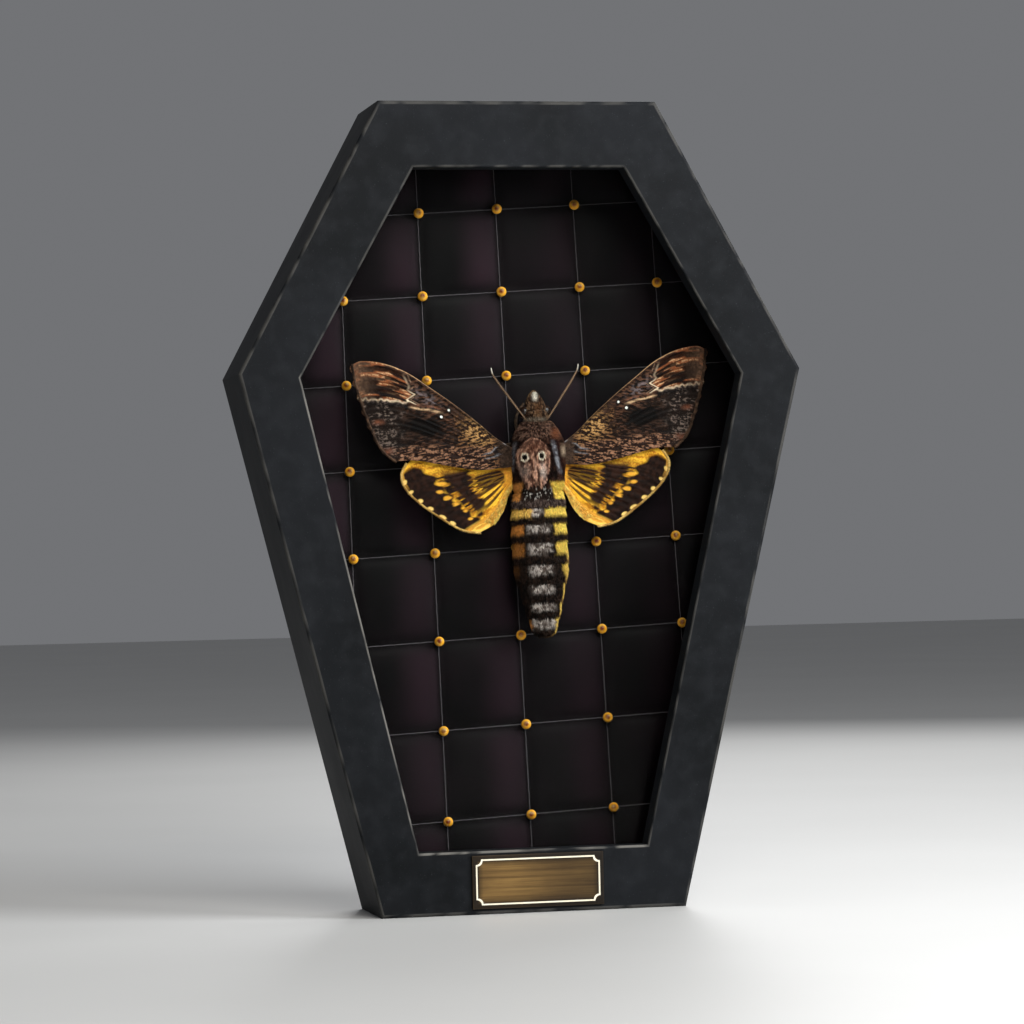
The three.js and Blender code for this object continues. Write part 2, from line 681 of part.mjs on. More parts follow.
function buildMoth() {
  const abdomen = abdomenSections();
  const headRoom = toSolid(bodyGeometry(HEAD_SECTIONS, HEAD_SIDES, GAP));
  const thoraxRoom = toSolid(bodyGeometry(THORAX_SECTIONS, THORAX_SIDES, GAP));
  const abdomenRoom = toSolid(bodyGeometry(abdomen, ABDOMEN_SIDES, GAP));

  addPart(moth, 'thorax', bodyGeometry(THORAX_SECTIONS, THORAX_SIDES), 'fur');
  addPart(moth, 'abdomen', bodyGeometry(abdomen, ABDOMEN_SIDES), 'banded');
  let head = toSolid(bodyGeometry(HEAD_SECTIONS, HEAD_SIDES));
  for (const side of [-1, 1]) head = head.subtract(toSolid(eyeGeometry(side, GAP)));
  addPart(moth, 'head', fromSolid(head), 'fur');
  addPart(moth, 'post', postGeometry(thoraxRoom), 'post');

  for (const [side, hand] of [[-1, 'left'], [1, 'right']]) {
    const eyeRoom = toSolid(eyeGeometry(side, GAP));
    addPart(moth, `eye_${hand}`, eyeGeometry(side), 'eye');
    const feelerRoute = routeOn(side, ANTENNA_ROUTE);
    const feeler = toSolid(limbGeometry(feelerRoute, antennaRadius, ANTENNA_FACETS));
    const clear = feeler.subtract(headRoom).subtract(thoraxRoom).subtract(eyeRoom);
    addPart(moth, `antenna_${hand}`, fromSolid(clear), 'feeler');
    for (const [name, wing, material] of [
      ['forewing', FOREWING, 'forewing'],
      ['hindwing', HINDWING, 'hindwing'],
    ]) {
      const sheet = toSolid(wingGeometry(wing, side)).subtract(thoraxRoom).subtract(abdomenRoom);
      addPart(moth, `${name}_${hand}`, fromSolid(sheet), material);
    }
    for (const [name, route] of Object.entries(LEG_ROUTES)) {
      const limb = toSolid(limbGeometry(routeOn(side, route), legRadius, LEG_FACETS));
      const folded = limb.subtract(thoraxRoom).subtract(abdomenRoom).subtract(headRoom);
      addPart(moth, `${name}_${hand}`, fromSolid(folded), 'leg');
    }
  }
}

buildCase();
buildMoth();

export default model;
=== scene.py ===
"""A deaths head hawkmoth, wings spread, in a glazed coffin shaped display case.

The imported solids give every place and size. This script adds the finish: the painted case, the
quilted lining, the beads, the plaque, and the moth's scales, fur and feelers.
"""

import math
from types import SimpleNamespace

import bpy
import numpy as np
from mathutils import Matrix, Vector


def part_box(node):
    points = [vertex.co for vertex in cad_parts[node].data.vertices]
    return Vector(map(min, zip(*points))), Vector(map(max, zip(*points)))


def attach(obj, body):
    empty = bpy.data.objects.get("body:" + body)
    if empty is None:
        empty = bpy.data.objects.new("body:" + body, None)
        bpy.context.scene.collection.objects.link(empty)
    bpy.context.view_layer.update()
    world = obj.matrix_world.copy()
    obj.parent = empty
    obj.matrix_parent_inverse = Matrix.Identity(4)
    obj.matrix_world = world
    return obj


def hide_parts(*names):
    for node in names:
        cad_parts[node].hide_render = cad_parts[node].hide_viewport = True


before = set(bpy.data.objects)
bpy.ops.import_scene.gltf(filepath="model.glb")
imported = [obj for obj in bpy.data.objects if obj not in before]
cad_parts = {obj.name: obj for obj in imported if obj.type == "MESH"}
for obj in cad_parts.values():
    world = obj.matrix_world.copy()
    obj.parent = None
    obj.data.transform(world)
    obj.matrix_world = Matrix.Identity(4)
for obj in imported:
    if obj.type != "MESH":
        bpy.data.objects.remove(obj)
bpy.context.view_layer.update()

MM = 0.001
HANDS = (("left", -1), ("right", 1))

# The case, as in the solids: half widths and heights at the foot, the shoulders and the top
OUTER_HALF = ((46, 0), (85, 160), (42, 240))
OPENING_HALF = ((34.6, 18.7), (66.7, 158.7), (31.9, 220.3))
FRONT_Y = -17
REAR_Y = 18
WALL_SHARE = 0.58
GROOVE_SHARE = 0.42
SHARE_GAP = 0.02
SCREW_SHARE = 0.62
LIP_BACK_Y = -10
GLASS_GROOVE_Y = -7.6
REBATE_Y = 14.8
OUTER_ROUND = 0.05
EDGE_DROP = 0.7
LIP_ROUND = 0.03
LIP_DROP = 0.5
FLAT_SHARE = 0.012
RAIL_STEPS = 40
EDGE_STEPS = 6
EDGE_LEAD = 0.5
LIP_LEAD = 0.4

# The quilting, as in the solids
QUILT_CENTRE = (1.6, 121.1)
QUILT_PITCH = (24.9, 26.2)
QUILT_TURN = math.radians(2.06)
QUILT_ROW_GROWTH = 0.0073
QUILT_FAN = 0.009
QUILT_ROW_SLANT = 0.38
PILLOW_Y = 9.1
GROOVE_DEPTH = 1.2
PAD_BACK_Y = 14.5
MIDDLE_ROW = 3.5
BEAD_RADIUS = 1.5

# The pad's grid, its edge and its finer relief, which only the render has
PAD_COLUMNS = (-4, 4)
PAD_ROWS = (-2, 10)
PAD_FINE = 14
PAD_OVERLAP = 3.2
PAD_EDGE_WIDTH = 2.5
PAD_EDGE_Y = PILLOW_Y + GROOVE_DEPTH * 1.3
PUCKER_HEIGHT = 0.07
PUCKER_PITCH = 95
PUCKER_FADE = 16
FOLD_HEIGHT = 0.12

# The moth's own frame, as in the solids
MOTH_X = 6.6
MOTH_Z = 136
MOTH_TURN = math.radians(2)

RNG = np.random.default_rng(7)


# Numbers and noise


def smooth(low, high, x):
    """0 below low, 1 above high and an even rise between."""
    t = np.clip((x - low) / (high - low), 0, 1)
    return t * t * (3 - 2 * t)


def hump(centre, half, x):
    """1 at centre, falling to 0 at half away on each side."""
    return 1 - smooth(0, 1, np.abs(x - centre) / half)


def window(start, full, fade, end, x):
    """0 up to start, 1 from full to fade and 0 again from end on."""
    return smooth(start, full, x) * smooth(end, fade, x)


def lerp(a, b, t):
    return a + (b - a) * t


def unit(vectors):
    return vectors / np.linalg.norm(vectors, axis=-1, keepdims=True)


def hash01(ix, iy, seed):
    """A repeatable random number from 0 to 1 for each whole number pair."""
    n = np.sin(ix * 127.1 + iy * 311.7 + seed * 74.7) * 43758.5453
    return n - np.floor(n)


def noise(x, y, seed=0):
    """Smooth noise from 0 to 1 with features one unit across."""
    ix, iy = np.floor(x), np.floor(y)
    fx, fy = smooth(0, 1, x - ix), smooth(0, 1, y - iy)
    low = lerp(hash01(ix, iy, seed), hash01(ix + 1, iy, seed), fx)
    high = lerp(hash01(ix, iy + 1, seed), hash01(ix + 1, iy + 1, seed), fx)
    return lerp(low, high, fy)


def cloud(x, y, seed=0, layers=3):
    """Several layers of noise, each finer and weaker."""
    weights = [0.5**k for k in range(layers)]
    total = sum(noise(x * 2**k, y * 2**k, seed + k) * weight for k, weight in enumerate(weights))
    return total / sum(weights)


# Colours: a tuple is a display colour, 0 to 255, and an array is linear light. In the functions that
# paint the moth, numbers are places in its own frame in mm or shares of a wing, and strengths up to 1


def srgb(colour):
    return (np.array(colour) / 255) ** 2.2 if isinstance(colour, tuple) else colour


def paint(colour, target, mask):
    """Lays target over colour where mask is 1."""
    return colour + (srgb(target) - colour) * mask[..., None]


def shades(first, second, t):
    """The first colour where t is 0 and the second where it is 1."""
    return lerp(srgb(first), srgb(second), t[..., None])


def blend(first, second, low, high, x):
    """From the first colour to the second as x goes from low to high."""
    return shades(first, second, smooth(low, high, x))


def pick(choose, first, second):
    return np.where(choose[..., None], srgb(first), srgb(second))


def paint_patches(colour, patches, x, z):
    """Soft patches: colour, middle and reach in x, middle and reach in z, and strength."""
    for tone, middle_x, reach_x, middle_z, reach_z, strength in patches:
        colour = paint(colour, tone, hump(middle_x, reach_x, x) * hump(middle_z, reach_z, z) * strength)
    return colour


# Meshes


def add_piece(name, mesh, material, smooth_faces):
    mesh.polygons.foreach_set("use_smooth", [smooth_faces] * len(mesh.polygons))
    mesh.materials.append(material)
    piece = bpy.data.objects.new(name, mesh)
    bpy.context.scene.collection.objects.link(piece)
    return piece


def new_object(name, vertices, faces, material, smooth_faces=True):
    """A mesh with faces of any number of corners."""
    mesh = bpy.data.meshes.new(name)
    mesh.from_pydata([tuple(v) for v in vertices], [], [tuple(f) for f in faces])
    mesh.validate()
    mesh.update()
    return add_piece(name, mesh, material, smooth_faces)


def array_object(name, vertices, faces, material):
    """A large mesh from arrays of faces with 3 or 4 corners each."""
    mesh = bpy.data.meshes.new(name)
    mesh.vertices.add(len(vertices))
    mesh.vertices.foreach_set("co", np.asarray(vertices, np.float32).ravel())
    corners = np.concatenate([np.asarray(f, np.int32).ravel() for f in faces])
    totals = np.concatenate([np.full(len(f), f.shape[1], np.int32) for f in faces])
    starts = np.concatenate([[0], np.cumsum(totals)[:-1]]).astype(np.int32)
    mesh.loops.add(len(corners))
    mesh.loops.foreach_set("vertex_index", corners)
    mesh.polygons.add(len(totals))
    mesh.polygons.foreach_set("loop_start", starts)
    mesh.polygons.foreach_set("loop_total", totals)
    mesh.update(calc_edges=True)
    mesh.validate()
    return add_piece(name, mesh, material, True)


def grid_quads(rows, columns):
    """Faces of a grid of points listed row by row."""
    index = np.arange(rows * columns).reshape(rows, columns)
    return np.stack([index[:-1, :-1], index[:-1, 1:], index[1:, 1:], index[1:, :-1]], -1).reshape(-1, 4)


def ring_faces(rings, sides, closed=False):
    """Faces between rings of points, and from the last ring to the first if closed."""
    faces = []
    for r in range(rings if closed else rings - 1):
        here, there = r * sides, (r + 1) % rings * sides
        for k in range(sides):
            m = (k + 1) % sides
            faces.append((here + k, there + k, there + m, here + m))
    return faces


def capped_faces(rings, sides):
    """Faces of a solid with rings of points that run the other way round, and its flat ends."""
    walls = [(a, d, c, b) for a, b, c, d in ring_faces(rings, sides)]
    last = (rings - 1) * sides
    return walls + [tuple(range(sides))[::-1], tuple(last + k for k in range(sides))]


def ball(turn, angle):
    """Points of a unit ball at turns from its pole and angles round it."""
    x, y = np.sin(turn) * np.cos(angle), np.sin(turn) * np.sin(angle)
    return np.stack([x, y, np.broadcast_to(np.cos(turn), x.shape)], -1)


def ring_angles(sides):
    return 2 * math.pi * np.arange(sides) / sides


def set_colour(piece, name, rgb):
    """A colour attribute from one colour, or one number, for each vertex."""
    layer = piece.data.attributes.new(name, "FLOAT_COLOR", "POINT")
    rgba = np.ones((len(rgb), 4), np.float32)
    rgba[:, :3] = np.clip(np.reshape(rgb, (len(rgb), -1)), 0, 1)
    layer.data.foreach_set("color", rgba.ravel())


def set_uv(piece, uv):
    """A UV map named for the bake, from one uv for each vertex."""
    layer = piece.data.uv_layers.new(name="OFBake")
    corners = np.zeros(len(piece.data.loops), np.int32)
    piece.data.loops.foreach_get("vertex_index", corners)
    layer.data.foreach_set("uv", np.asarray(uv, np.float32)[corners].ravel())


def place(piece, nodes=(), body="root"):
    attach(piece, body)
    if nodes:
        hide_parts(*nodes)


def sharp_corners(piece, degrees):
    """Smooth shading only across edges flatter than this."""
    bpy.context.view_layer.objects.active = piece
    piece.select_set(True)
    bpy.ops.object.shade_smooth_by_angle(angle=math.radians(degrees))
    piece.select_set(False)


def moth_to_world(points):
    """Points in the moth's own frame, in mm, to the case's frame, in metres."""
    c, s = math.cos(MOTH_TURN), math.sin(MOTH_TURN)
    x = points[..., 0] * c - points[..., 2] * s + MOTH_X
    z = points[..., 0] * s + points[..., 2] * c + MOTH_Z
    return np.stack([x, points[..., 1], z], -1) * MM


# Materials

MIX_SOCKETS = (0, 6, 7)
MIX_RESULT = 2


class Shader:
    """A material's node tree, with short calls for the nodes used here."""

    def __init__(self, name):
        self.material = bpy.data.materials.new(name)
        self.material.use_nodes = True
        self.tree = self.material.node_tree
        self.bsdf = self.tree.nodes["Principled BSDF"]
        self.coords = None

    def node(self, kind, **settings):
        node = self.tree.nodes.new("ShaderNode" + kind)
        for key, value in settings.items():
            setattr(node, key, value)
        return node

    def feed(self, socket, value):
        """Links an output to the socket, or sets a number, a vector or a linear colour on it."""
        if isinstance(value, bpy.types.NodeSocket):
            self.tree.links.new(value, socket)
        elif np.ndim(value):
            socket.default_value = (*value, 1)[: len(socket.default_value)]
        else:
            socket.default_value = value

    def fill(self, node, **values):
        for key, value in values.items():
            self.feed(node.inputs[key.replace("_", " ")], value)
        return node

    def set(self, **values):
        self.fill(self.bsdf, **values)

    def noise(self, scale, detail=4.0, stretch=(1, 1, 1), roughness=0.55):
        """Noise in the object's coordinates, drawn out along each axis whose stretch is small."""
        if self.coords is None:
            self.coords = self.node("TexCoord").outputs["Object"]
        mapping = self.fill(self.node("Mapping"), Vector=self.coords, Scale=stretch)
        node = self.node("TexNoise")
        self.fill(node, Scale=scale, Detail=detail, Roughness=roughness, Vector=mapping.outputs["Vector"])
        return node.outputs["Fac"]

    def ramp(self, source, low, high, start=0.0, end=1.0):
        """From start to end as the source goes from low to high."""
        node = self.node("MapRange")
        self.fill(node, Value=source, From_Min=low, From_Max=high, To_Min=start, To_Max=end)
        return node.outputs["Result"]

    def mix(self, factor, first, second, blend_type="MIX"):
        node = self.node("Mix", data_type="RGBA", blend_type=blend_type)
        for index, value in zip(MIX_SOCKETS, (factor, first, second)):
            self.feed(node.inputs[index], srgb(value))
        return node.outputs[MIX_RESULT]

    def tones(self, source, low, high, first, second):
        """From the first colour to the second as the source goes from low to high."""
        return self.mix(self.ramp(source, low, high), first, second)

    def overlay(self, tone, source, low, high, most, colour):
        """Lays a colour over the tone as the source goes from low to high, to a share of most."""
        return self.mix(self.ramp(source, low, high, 0, most), tone, colour)

    def math(self, operation, first, second):
        node = self.node("Math", operation=operation)
        self.feed(node.inputs[0], first)
        self.feed(node.inputs[1], second)
        return node.outputs[0]

    def attribute(self, name):
        return self.node("Attribute", attribute_name=name).outputs["Color"]

    def bump(self, height, strength, distance):
        node = self.fill(self.node("Bump"), Strength=strength, Distance=distance, Height=height)
        self.set(Normal=node.outputs["Normal"])


def painted_wood():
    """Matt charcoal paint, brushed, with fine fibres, edges rubbed pale and a painted highlight along two
    lips.
    """
    s = Shader("painted_wood")
    brushed = s.noise(700, 3, (0.25, 1, 0.25))
    patches = s.noise(24, 5)
    specks = s.noise(2400, 2)
    tone = s.tones(patches, 0.35, 0.7, (17, 19, 21), (27, 29, 32))
    tone = s.overlay(tone, brushed, 0.45, 0.75, 0.3, (42, 44, 47))
    tone = s.overlay(tone, specks, 0.68, 0.74, 0.4, (70, 73, 77))
    tone = s.mix(s.attribute("wear_and_highlight"), tone, (168, 164, 156))
    s.set(Base_Color=tone, Roughness=s.ramp(patches, 0.3, 0.7, 0.5, 0.64), Specular_IOR_Level=0.1)
    s.bump(s.math("ADD", s.math("MULTIPLY", brushed, 0.6), s.math("MULTIPLY", specks, 0.4)), 0.25, 0.0002)
    return s.material


def glass():
    """A clear pane that only glints."""
    s = Shader("pane_glass")
    s.tree.nodes.remove(s.bsdf)
    fresnel = s.fill(s.node("Fresnel"), IOR=1.09)
    clear = s.fill(s.node("BsdfTransparent"), Color=(0.97, 0.985, 0.98))
    gloss = s.fill(s.node("BsdfGlossy"), Roughness=0.03)
    pane = s.node("MixShader")
    for index, part in enumerate((fresnel, clear, gloss)):
        s.feed(pane.inputs[index], part.outputs[0])
    s.feed(s.tree.nodes["Material Output"].inputs["Surface"], pane.outputs[0])
    return s.material


def satin():
    """Aubergine black satin, with a painted purple sheen that comes and goes over each square."""
    s = Shader("quilted_lining")
    weave = s.noise(3200, 2, (1, 1, 0.25))
    cross = s.noise(3200, 2, (0.25, 1, 1))
    tone = s.tones(s.noise(45, 4), 0.35, 0.7, (11, 9, 10), (21, 15, 18))
    tone = s.mix(s.attribute("painted_sheen"), tone, (44, 30, 37))
    s.set(Base_Color=tone, Roughness=0.5, Specular_IOR_Level=0.07)
    s.set(Sheen_Weight=0.03, Sheen_Roughness=0.4, Sheen_Tint=srgb((150, 110, 135)))
    s.bump(s.math("ADD", weave, cross), 0.12, 0.0001)
    return s.material


def thread():
    s = Shader("stitch_thread")
    twist = s.noise(1800, 2)
    s.set(Base_Color=s.mix(twist, (56, 50, 54), (100, 94, 98)), Roughness=0.6)
    s.bump(twist, 0.4, 0.0001)
    return s.material


def amber():
    """A glossy amber bead, yellow round a middle darkened by painted shade."""
    s = Shader("amber_bead")
    tone = s.mix(s.attribute("core_shade"), (246, 168, 46), (96, 30, 12))
    tone = s.overlay(tone, s.noise(900, 3), 0.45, 0.7, 0.3, (255, 222, 130))
    s.set(Base_Color=tone, Roughness=0.3, Specular_IOR_Level=0.2, Coat_Weight=0.12, Coat_Roughness=0.1)
    return s.material


def brass():
    """Antique brass, brushed along the plate, dark towards its rim, with painted shade towards its right."""
    s = Shader("aged_brass")
    brushed = s.noise(420, 5, (0.05, 1, 2.4), 0.7)
    tone = s.tones(brushed, 0.3, 0.7, (92, 69, 38), (160, 126, 74))
    tone = s.overlay(tone, s.noise(90, 4, (0.6, 1, 1)), 0.45, 0.7, 0.45, (78, 58, 36))
    tone = s.mix(s.attribute("rim_and_shade"), tone, (24, 20, 17))
    s.set(Base_Color=tone, Metallic=0.6, Roughness=s.ramp(brushed, 0.3, 0.7, 0.5, 0.38))
    s.bump(brushed, 0.15, 0.0001)
    return s.material


def border_enamel():
    s = Shader("border_line")
    s.set(Base_Color=s.mix(s.noise(800, 3), (226, 214, 184), (246, 240, 222)), Roughness=0.4)
    return s.material


def hardboard():
    s = Shader("back_board")
    fibre = s.noise(420, 5, (1, 1, 0.4))
    tone = s.tones(fibre, 0.3, 0.75, (40, 33, 28), (74, 62, 52))
    tone = s.overlay(tone, s.noise(40, 4), 0.45, 0.7, 0.5, (30, 26, 24))
    s.set(Base_Color=tone, Roughness=0.72)
    s.bump(fibre, 0.5, 0.0003)
    return s.material


def grained(name, scale, detail, low, high, colours, roughness, bump):
    """One grain that gives both the colour and the relief: cork, chitin and shade."""
    s = Shader(name)
    grain = s.noise(scale, detail)
    s.set(Base_Color=s.tones(grain, low, high, *colours), Roughness=roughness)
    s.bump(grain, *bump)
    return s.material


def cork():
    return grained("cork_post", 900, 4, 0.35, 0.65, ((110, 76, 44), (176, 132, 84)), 0.8, (0.6, 0.0003))


def chitin(name, dark, light, scale, roughness):
    return grained(name, scale, 3, 0.35, 0.7, (dark, light), roughness, (0.4, 0.0001))


def scales(name, grain_scale, depth):
    """Wing scales: the painted pattern broken up by fine grain."""
    s = Shader(name)
    grain = s.ramp(s.noise(grain_scale, 3), 0.3, 0.7, 1 - depth, 1 + 0.6 * depth)
    tone = s.mix(1.0, s.attribute("pattern"), grain, "MULTIPLY")
    s.set(Base_Color=tone, Roughness=0.6, Specular_IOR_Level=0.07)
    s.bump(s.noise(grain_scale, 2), 0.35, 0.0001)
    return s.material


def fur(name):
    """Hair whose colour comes from its root's place in the pattern."""
    s = Shader(name)
    grain = s.ramp(s.noise(1500, 3), 0.35, 0.65, 0.75, 1.2)
    tone = s.mix(1.0, s.attribute("pattern"), grain, "MULTIPLY")
    s.set(Base_Color=tone, Roughness=0.55, Specular_IOR_Level=0.1)
    return s.material


# Camera, light and stage

LENS = 130.3
CLIP_START = 0.01
SENSOR = 36
CAMERA_PLACE = (-0.2383, -1.0862, 0.1050)
CAMERA_FORWARD = Vector((0.2136, 0.9769, 0.0122))
CAMERA_RIGHT = Vector((0.9767, -0.2133, -0.0220))
# Place, size and power of each light, and its colour
LIGHTS = {
    "window": ((0.62, -0.5, 0.52), (0.45, 0.6), 10, (0.96, 0.98, 1)),
    "key": ((0.08, -1.0, 0.8), (0.6, 0.5), 10.5, (1, 0.97, 0.93)),
    "rear": ((0.4, 0.8, 0.6), (0.7, 0.7), 5, (1, 1, 1)),
}
LIGHT_AIM = Vector((0, 0, 0.12))
SKY = (0.93, 0.95, 1, 1)
SKY_STRENGTH = 0.18
FLOOR_TONES = np.array([(0.5, 0.5, 0.49), (0.56, 0.56, 0.55)])
FLOOR_REACH = 4.0


def build_camera():
    """The photograph's view: level, a little to the left, from over a metre away."""
    data = bpy.data.cameras.new("photo_camera")
    data.sensor_width = SENSOR
    data.lens = LENS
    data.clip_start = CLIP_START
    data.dof.use_dof = False
    camera = bpy.data.objects.new("photo_camera", data)
    camera.location = CAMERA_PLACE
    up = CAMERA_RIGHT.cross(CAMERA_FORWARD).normalized()
    right = CAMERA_FORWARD.cross(up).normalized()
    camera.rotation_euler = Matrix((right, up, -CAMERA_FORWARD.normalized())).transposed().to_euler()
    bpy.context.scene.collection.objects.link(camera)
    bpy.context.scene.camera = camera


def area_light(name, place_at, size, power, colour):
    data = bpy.data.lights.new(name, "AREA")
    data.shape = "RECTANGLE"
    data.size, data.size_y = size
    data.energy = power
    data.color = colour
    light = bpy.data.objects.new(name, data)
    light.location = place_at
    light.rotation_euler = (LIGHT_AIM - Vector(place_at)).to_track_quat("-Z", "Y").to_euler()
    bpy.context.scene.collection.objects.link(light)


def build_stage():
    scene = bpy.context.scene
    scene.world = bpy.data.worlds.new("studio")
    scene.world.use_nodes = True
    scene.view_settings.view_transform = "Standard"
    sky = scene.world.node_tree.nodes["Background"].inputs
    sky["Color"].default_value = SKY
    sky["Strength"].default_value = SKY_STRENGTH
    for name, light in LIGHTS.items():
        area_light(name, *light)
    s = Shader("pale_floor")
    s.set(Base_Color=s.mix(s.noise(6, 3), *FLOOR_TONES), Roughness=0.5)
    corners = [(x * FLOOR_REACH, y * FLOOR_REACH, 0) for x, y in ((-1, -1), (1, -1), (1, 1), (-1, 1))]
    floor = new_object("floor", corners, [range(4)], s.material, False)


# The case


def six_corners(foot, shoulder, top):
    """A coffin's outline as (x, z), from the foot's left end and round to the right."""
    left = [(-x, z) for x, z in (top, shoulder, foot)]
    return np.array([left[2], foot, shoulder, top, left[0], left[1]], float)


OUTER = six_corners(*OUTER_HALF)
OPENING = six_corners(*OPENING_HALF)
RAILS = ["rail_" + n for n in ("foot", "right_lower", "right_upper", "top", "left_upper", "left_lower")]
FOOT_RAIL = 0
LEFT_LOWER_RAIL = 5
# Marks for the rounded edges, how strongly the paint is rubbed off them, and the painted highlight where the
# light catches the lips of the foot and the lower left rail
EDGE_MARK = 0.3
LIP_MARK = 1.0
LIP_HIGHLIGHT = 0.3
RUB_LIGHT = 0.1
LIP_HIGHLIGHT_DEPTH = 0.3
RUB_SPOT = 3


def round_edge(start, width, y, drop, mark):
    """A quarter round from the flat face at y to an edge's side: share of width, y and mark."""
    turns = np.linspace(0, math.pi / 2, EDGE_STEPS)
    return [(start + width * (1 - math.sin(t)), y + drop * (1 - math.cos(t)), mark) for t in turns]


def rounded_section():
    """The rails' section, both front edges and the rear one rounded: share of width, y, mark."""
    return np.array([
        (0, FRONT_Y + EDGE_DROP + EDGE_LEAD, 0),
        *round_edge(0, OUTER_ROUND, FRONT_Y, EDGE_DROP, EDGE_MARK)[::-1],
        (OUTER_ROUND + FLAT_SHARE, FRONT_Y, 0),
        (1 - LIP_ROUND - FLAT_SHARE, FRONT_Y, 0),
        *round_edge(1, -LIP_ROUND, FRONT_Y, LIP_DROP, LIP_MARK),
        (1, FRONT_Y + LIP_DROP + LIP_LEAD, 0),
        (1, LIP_BACK_Y, 0),
        (GROOVE_SHARE, LIP_BACK_Y, 0),
        (GROOVE_SHARE, GLASS_GROOVE_Y, 0),
        (WALL_SHARE, GLASS_GROOVE_Y, 0),
        (WALL_SHARE, REBATE_Y, 0),
        (GROOVE_SHARE, REBATE_Y, 0),
        (GROOVE_SHARE, REAR_Y, 0),
        (OUTER_ROUND + FLAT_SHARE, REAR_Y, 0),
        *round_edge(0, OUTER_ROUND, REAR_Y, -EDGE_DROP, EDGE_MARK),
        (0, REAR_Y - EDGE_DROP - EDGE_LEAD, 0),
    ])


def build_case_frame(material):
    """One painted ring of six rails, its edges rubbed a little, with a painted highlight along the lips of
    the foot and the lower left rail.
    """
    share, y, mark = rounded_section().T
    rail, step = np.divmod(np.arange(6 * RAIL_STEPS), RAIL_STEPS)
    along = (step / RAIL_STEPS)[:, None]
    outer, inner = (lerp(outline[rail], outline[(rail + 1) % 6], along) for outline in (OUTER, OPENING))
    flat = lerp(outer[:, None], inner[:, None], share[:, None])
    points = np.insert(flat, 1, y, axis=2).reshape(-1, 3)
    piece = new_object("case_frame", points * MM, ring_faces(len(rail), len(y), True), material)
    rail, mark = np.repeat(rail, len(y)), np.tile(mark, len(rail))
    on_lip = mark == LIP_MARK
    on_face = points[:, 1] < FRONT_Y + LIP_HIGHLIGHT_DEPTH
    # Wear on every edge, and a painted highlight on the foot's lip and the front of the lower left lip
    wear_and_highlight_mask = np.where(on_lip & (rail == FOOT_RAIL), LIP_HIGHLIGHT, RUB_LIGHT * (mark > 0))
    wear_and_highlight_mask = np.where(on_lip & (rail == LEFT_LOWER_RAIL), LIP_HIGHLIGHT * on_face, wear_and_highlight_mask)
    spots = cloud(points[:, 0] / RUB_SPOT, points[:, 2] / RUB_SPOT, 11)
    set_colour(piece, "wear_and_highlight", wear_and_highlight_mask * smooth(0.3, 0.62, spots))
    place(piece, RAILS)
    sharp_corners(piece, 40)


def quilt_place(column, row):
    down = row - MIDDLE_ROW
    x = column * QUILT_PITCH[0] * (1 + QUILT_FAN * down)
    z = QUILT_ROW_SLANT * column - QUILT_PITCH[1] * (down + QUILT_ROW_GROWTH * down * down)
    c, s = math.cos(QUILT_TURN), math.sin(QUILT_TURN)
    return QUILT_CENTRE[0] + x * c - z * s, QUILT_CENTRE[1] + x * s + z * c


def puckers(along, across, wobble):
    """Fine folds that cross a seam and die out away from it."""
    to_seam = np.minimum(across - np.floor(across), np.ceil(across) - across)
    wave = np.sin(along * PUCKER_PITCH + 3 * np.sin(along * wobble))
    return PUCKER_HEIGHT * wave * np.exp(-to_seam * PUCKER_FADE)


def quilt_front(column, row):
    """The satin's face: swollen squares, a pinched seam and fine puckers that run off it."""
    swell = np.sqrt(np.abs(np.sin(math.pi * column)) * np.abs(np.sin(math.pi * row)))
    fold = FOLD_HEIGHT * (cloud(column * 2.3, row * 2.3, 3) - 0.5) * swell
    pucker = puckers(row, column, 17) + puckers(column, row, 13)
    return PILLOW_Y + GROOVE_DEPTH * (1 - swell) + pucker + fold


def outline_edges(share):
    """Each edge of the case's outline at that share: its first corner and the way in."""
    corners = lerp(OUTER, OPENING, share)
    along = unit(np.roll(corners, -1, 0) - corners)
    return list(zip(corners, np.stack([-along[:, 1], along[:, 0]], 1)))


PAD_EDGES = outline_edges(WALL_SHARE + SHARE_GAP)


def inside_pad(points):
    """How far each (x, z) point lies inside the pad's outline, in mm."""
    return np.min([(points - corner) @ inward for corner, inward in PAD_EDGES], axis=0)


def border_edges(quads):
    """The edges that only one face uses."""
    edges = {}
    for quad in quads.tolist():
        for a, b in zip(quad, quad[1:] + quad[:1]):
            if edges.pop((b, a), None) is None:
                edges[a, b] = True
    return list(edges)


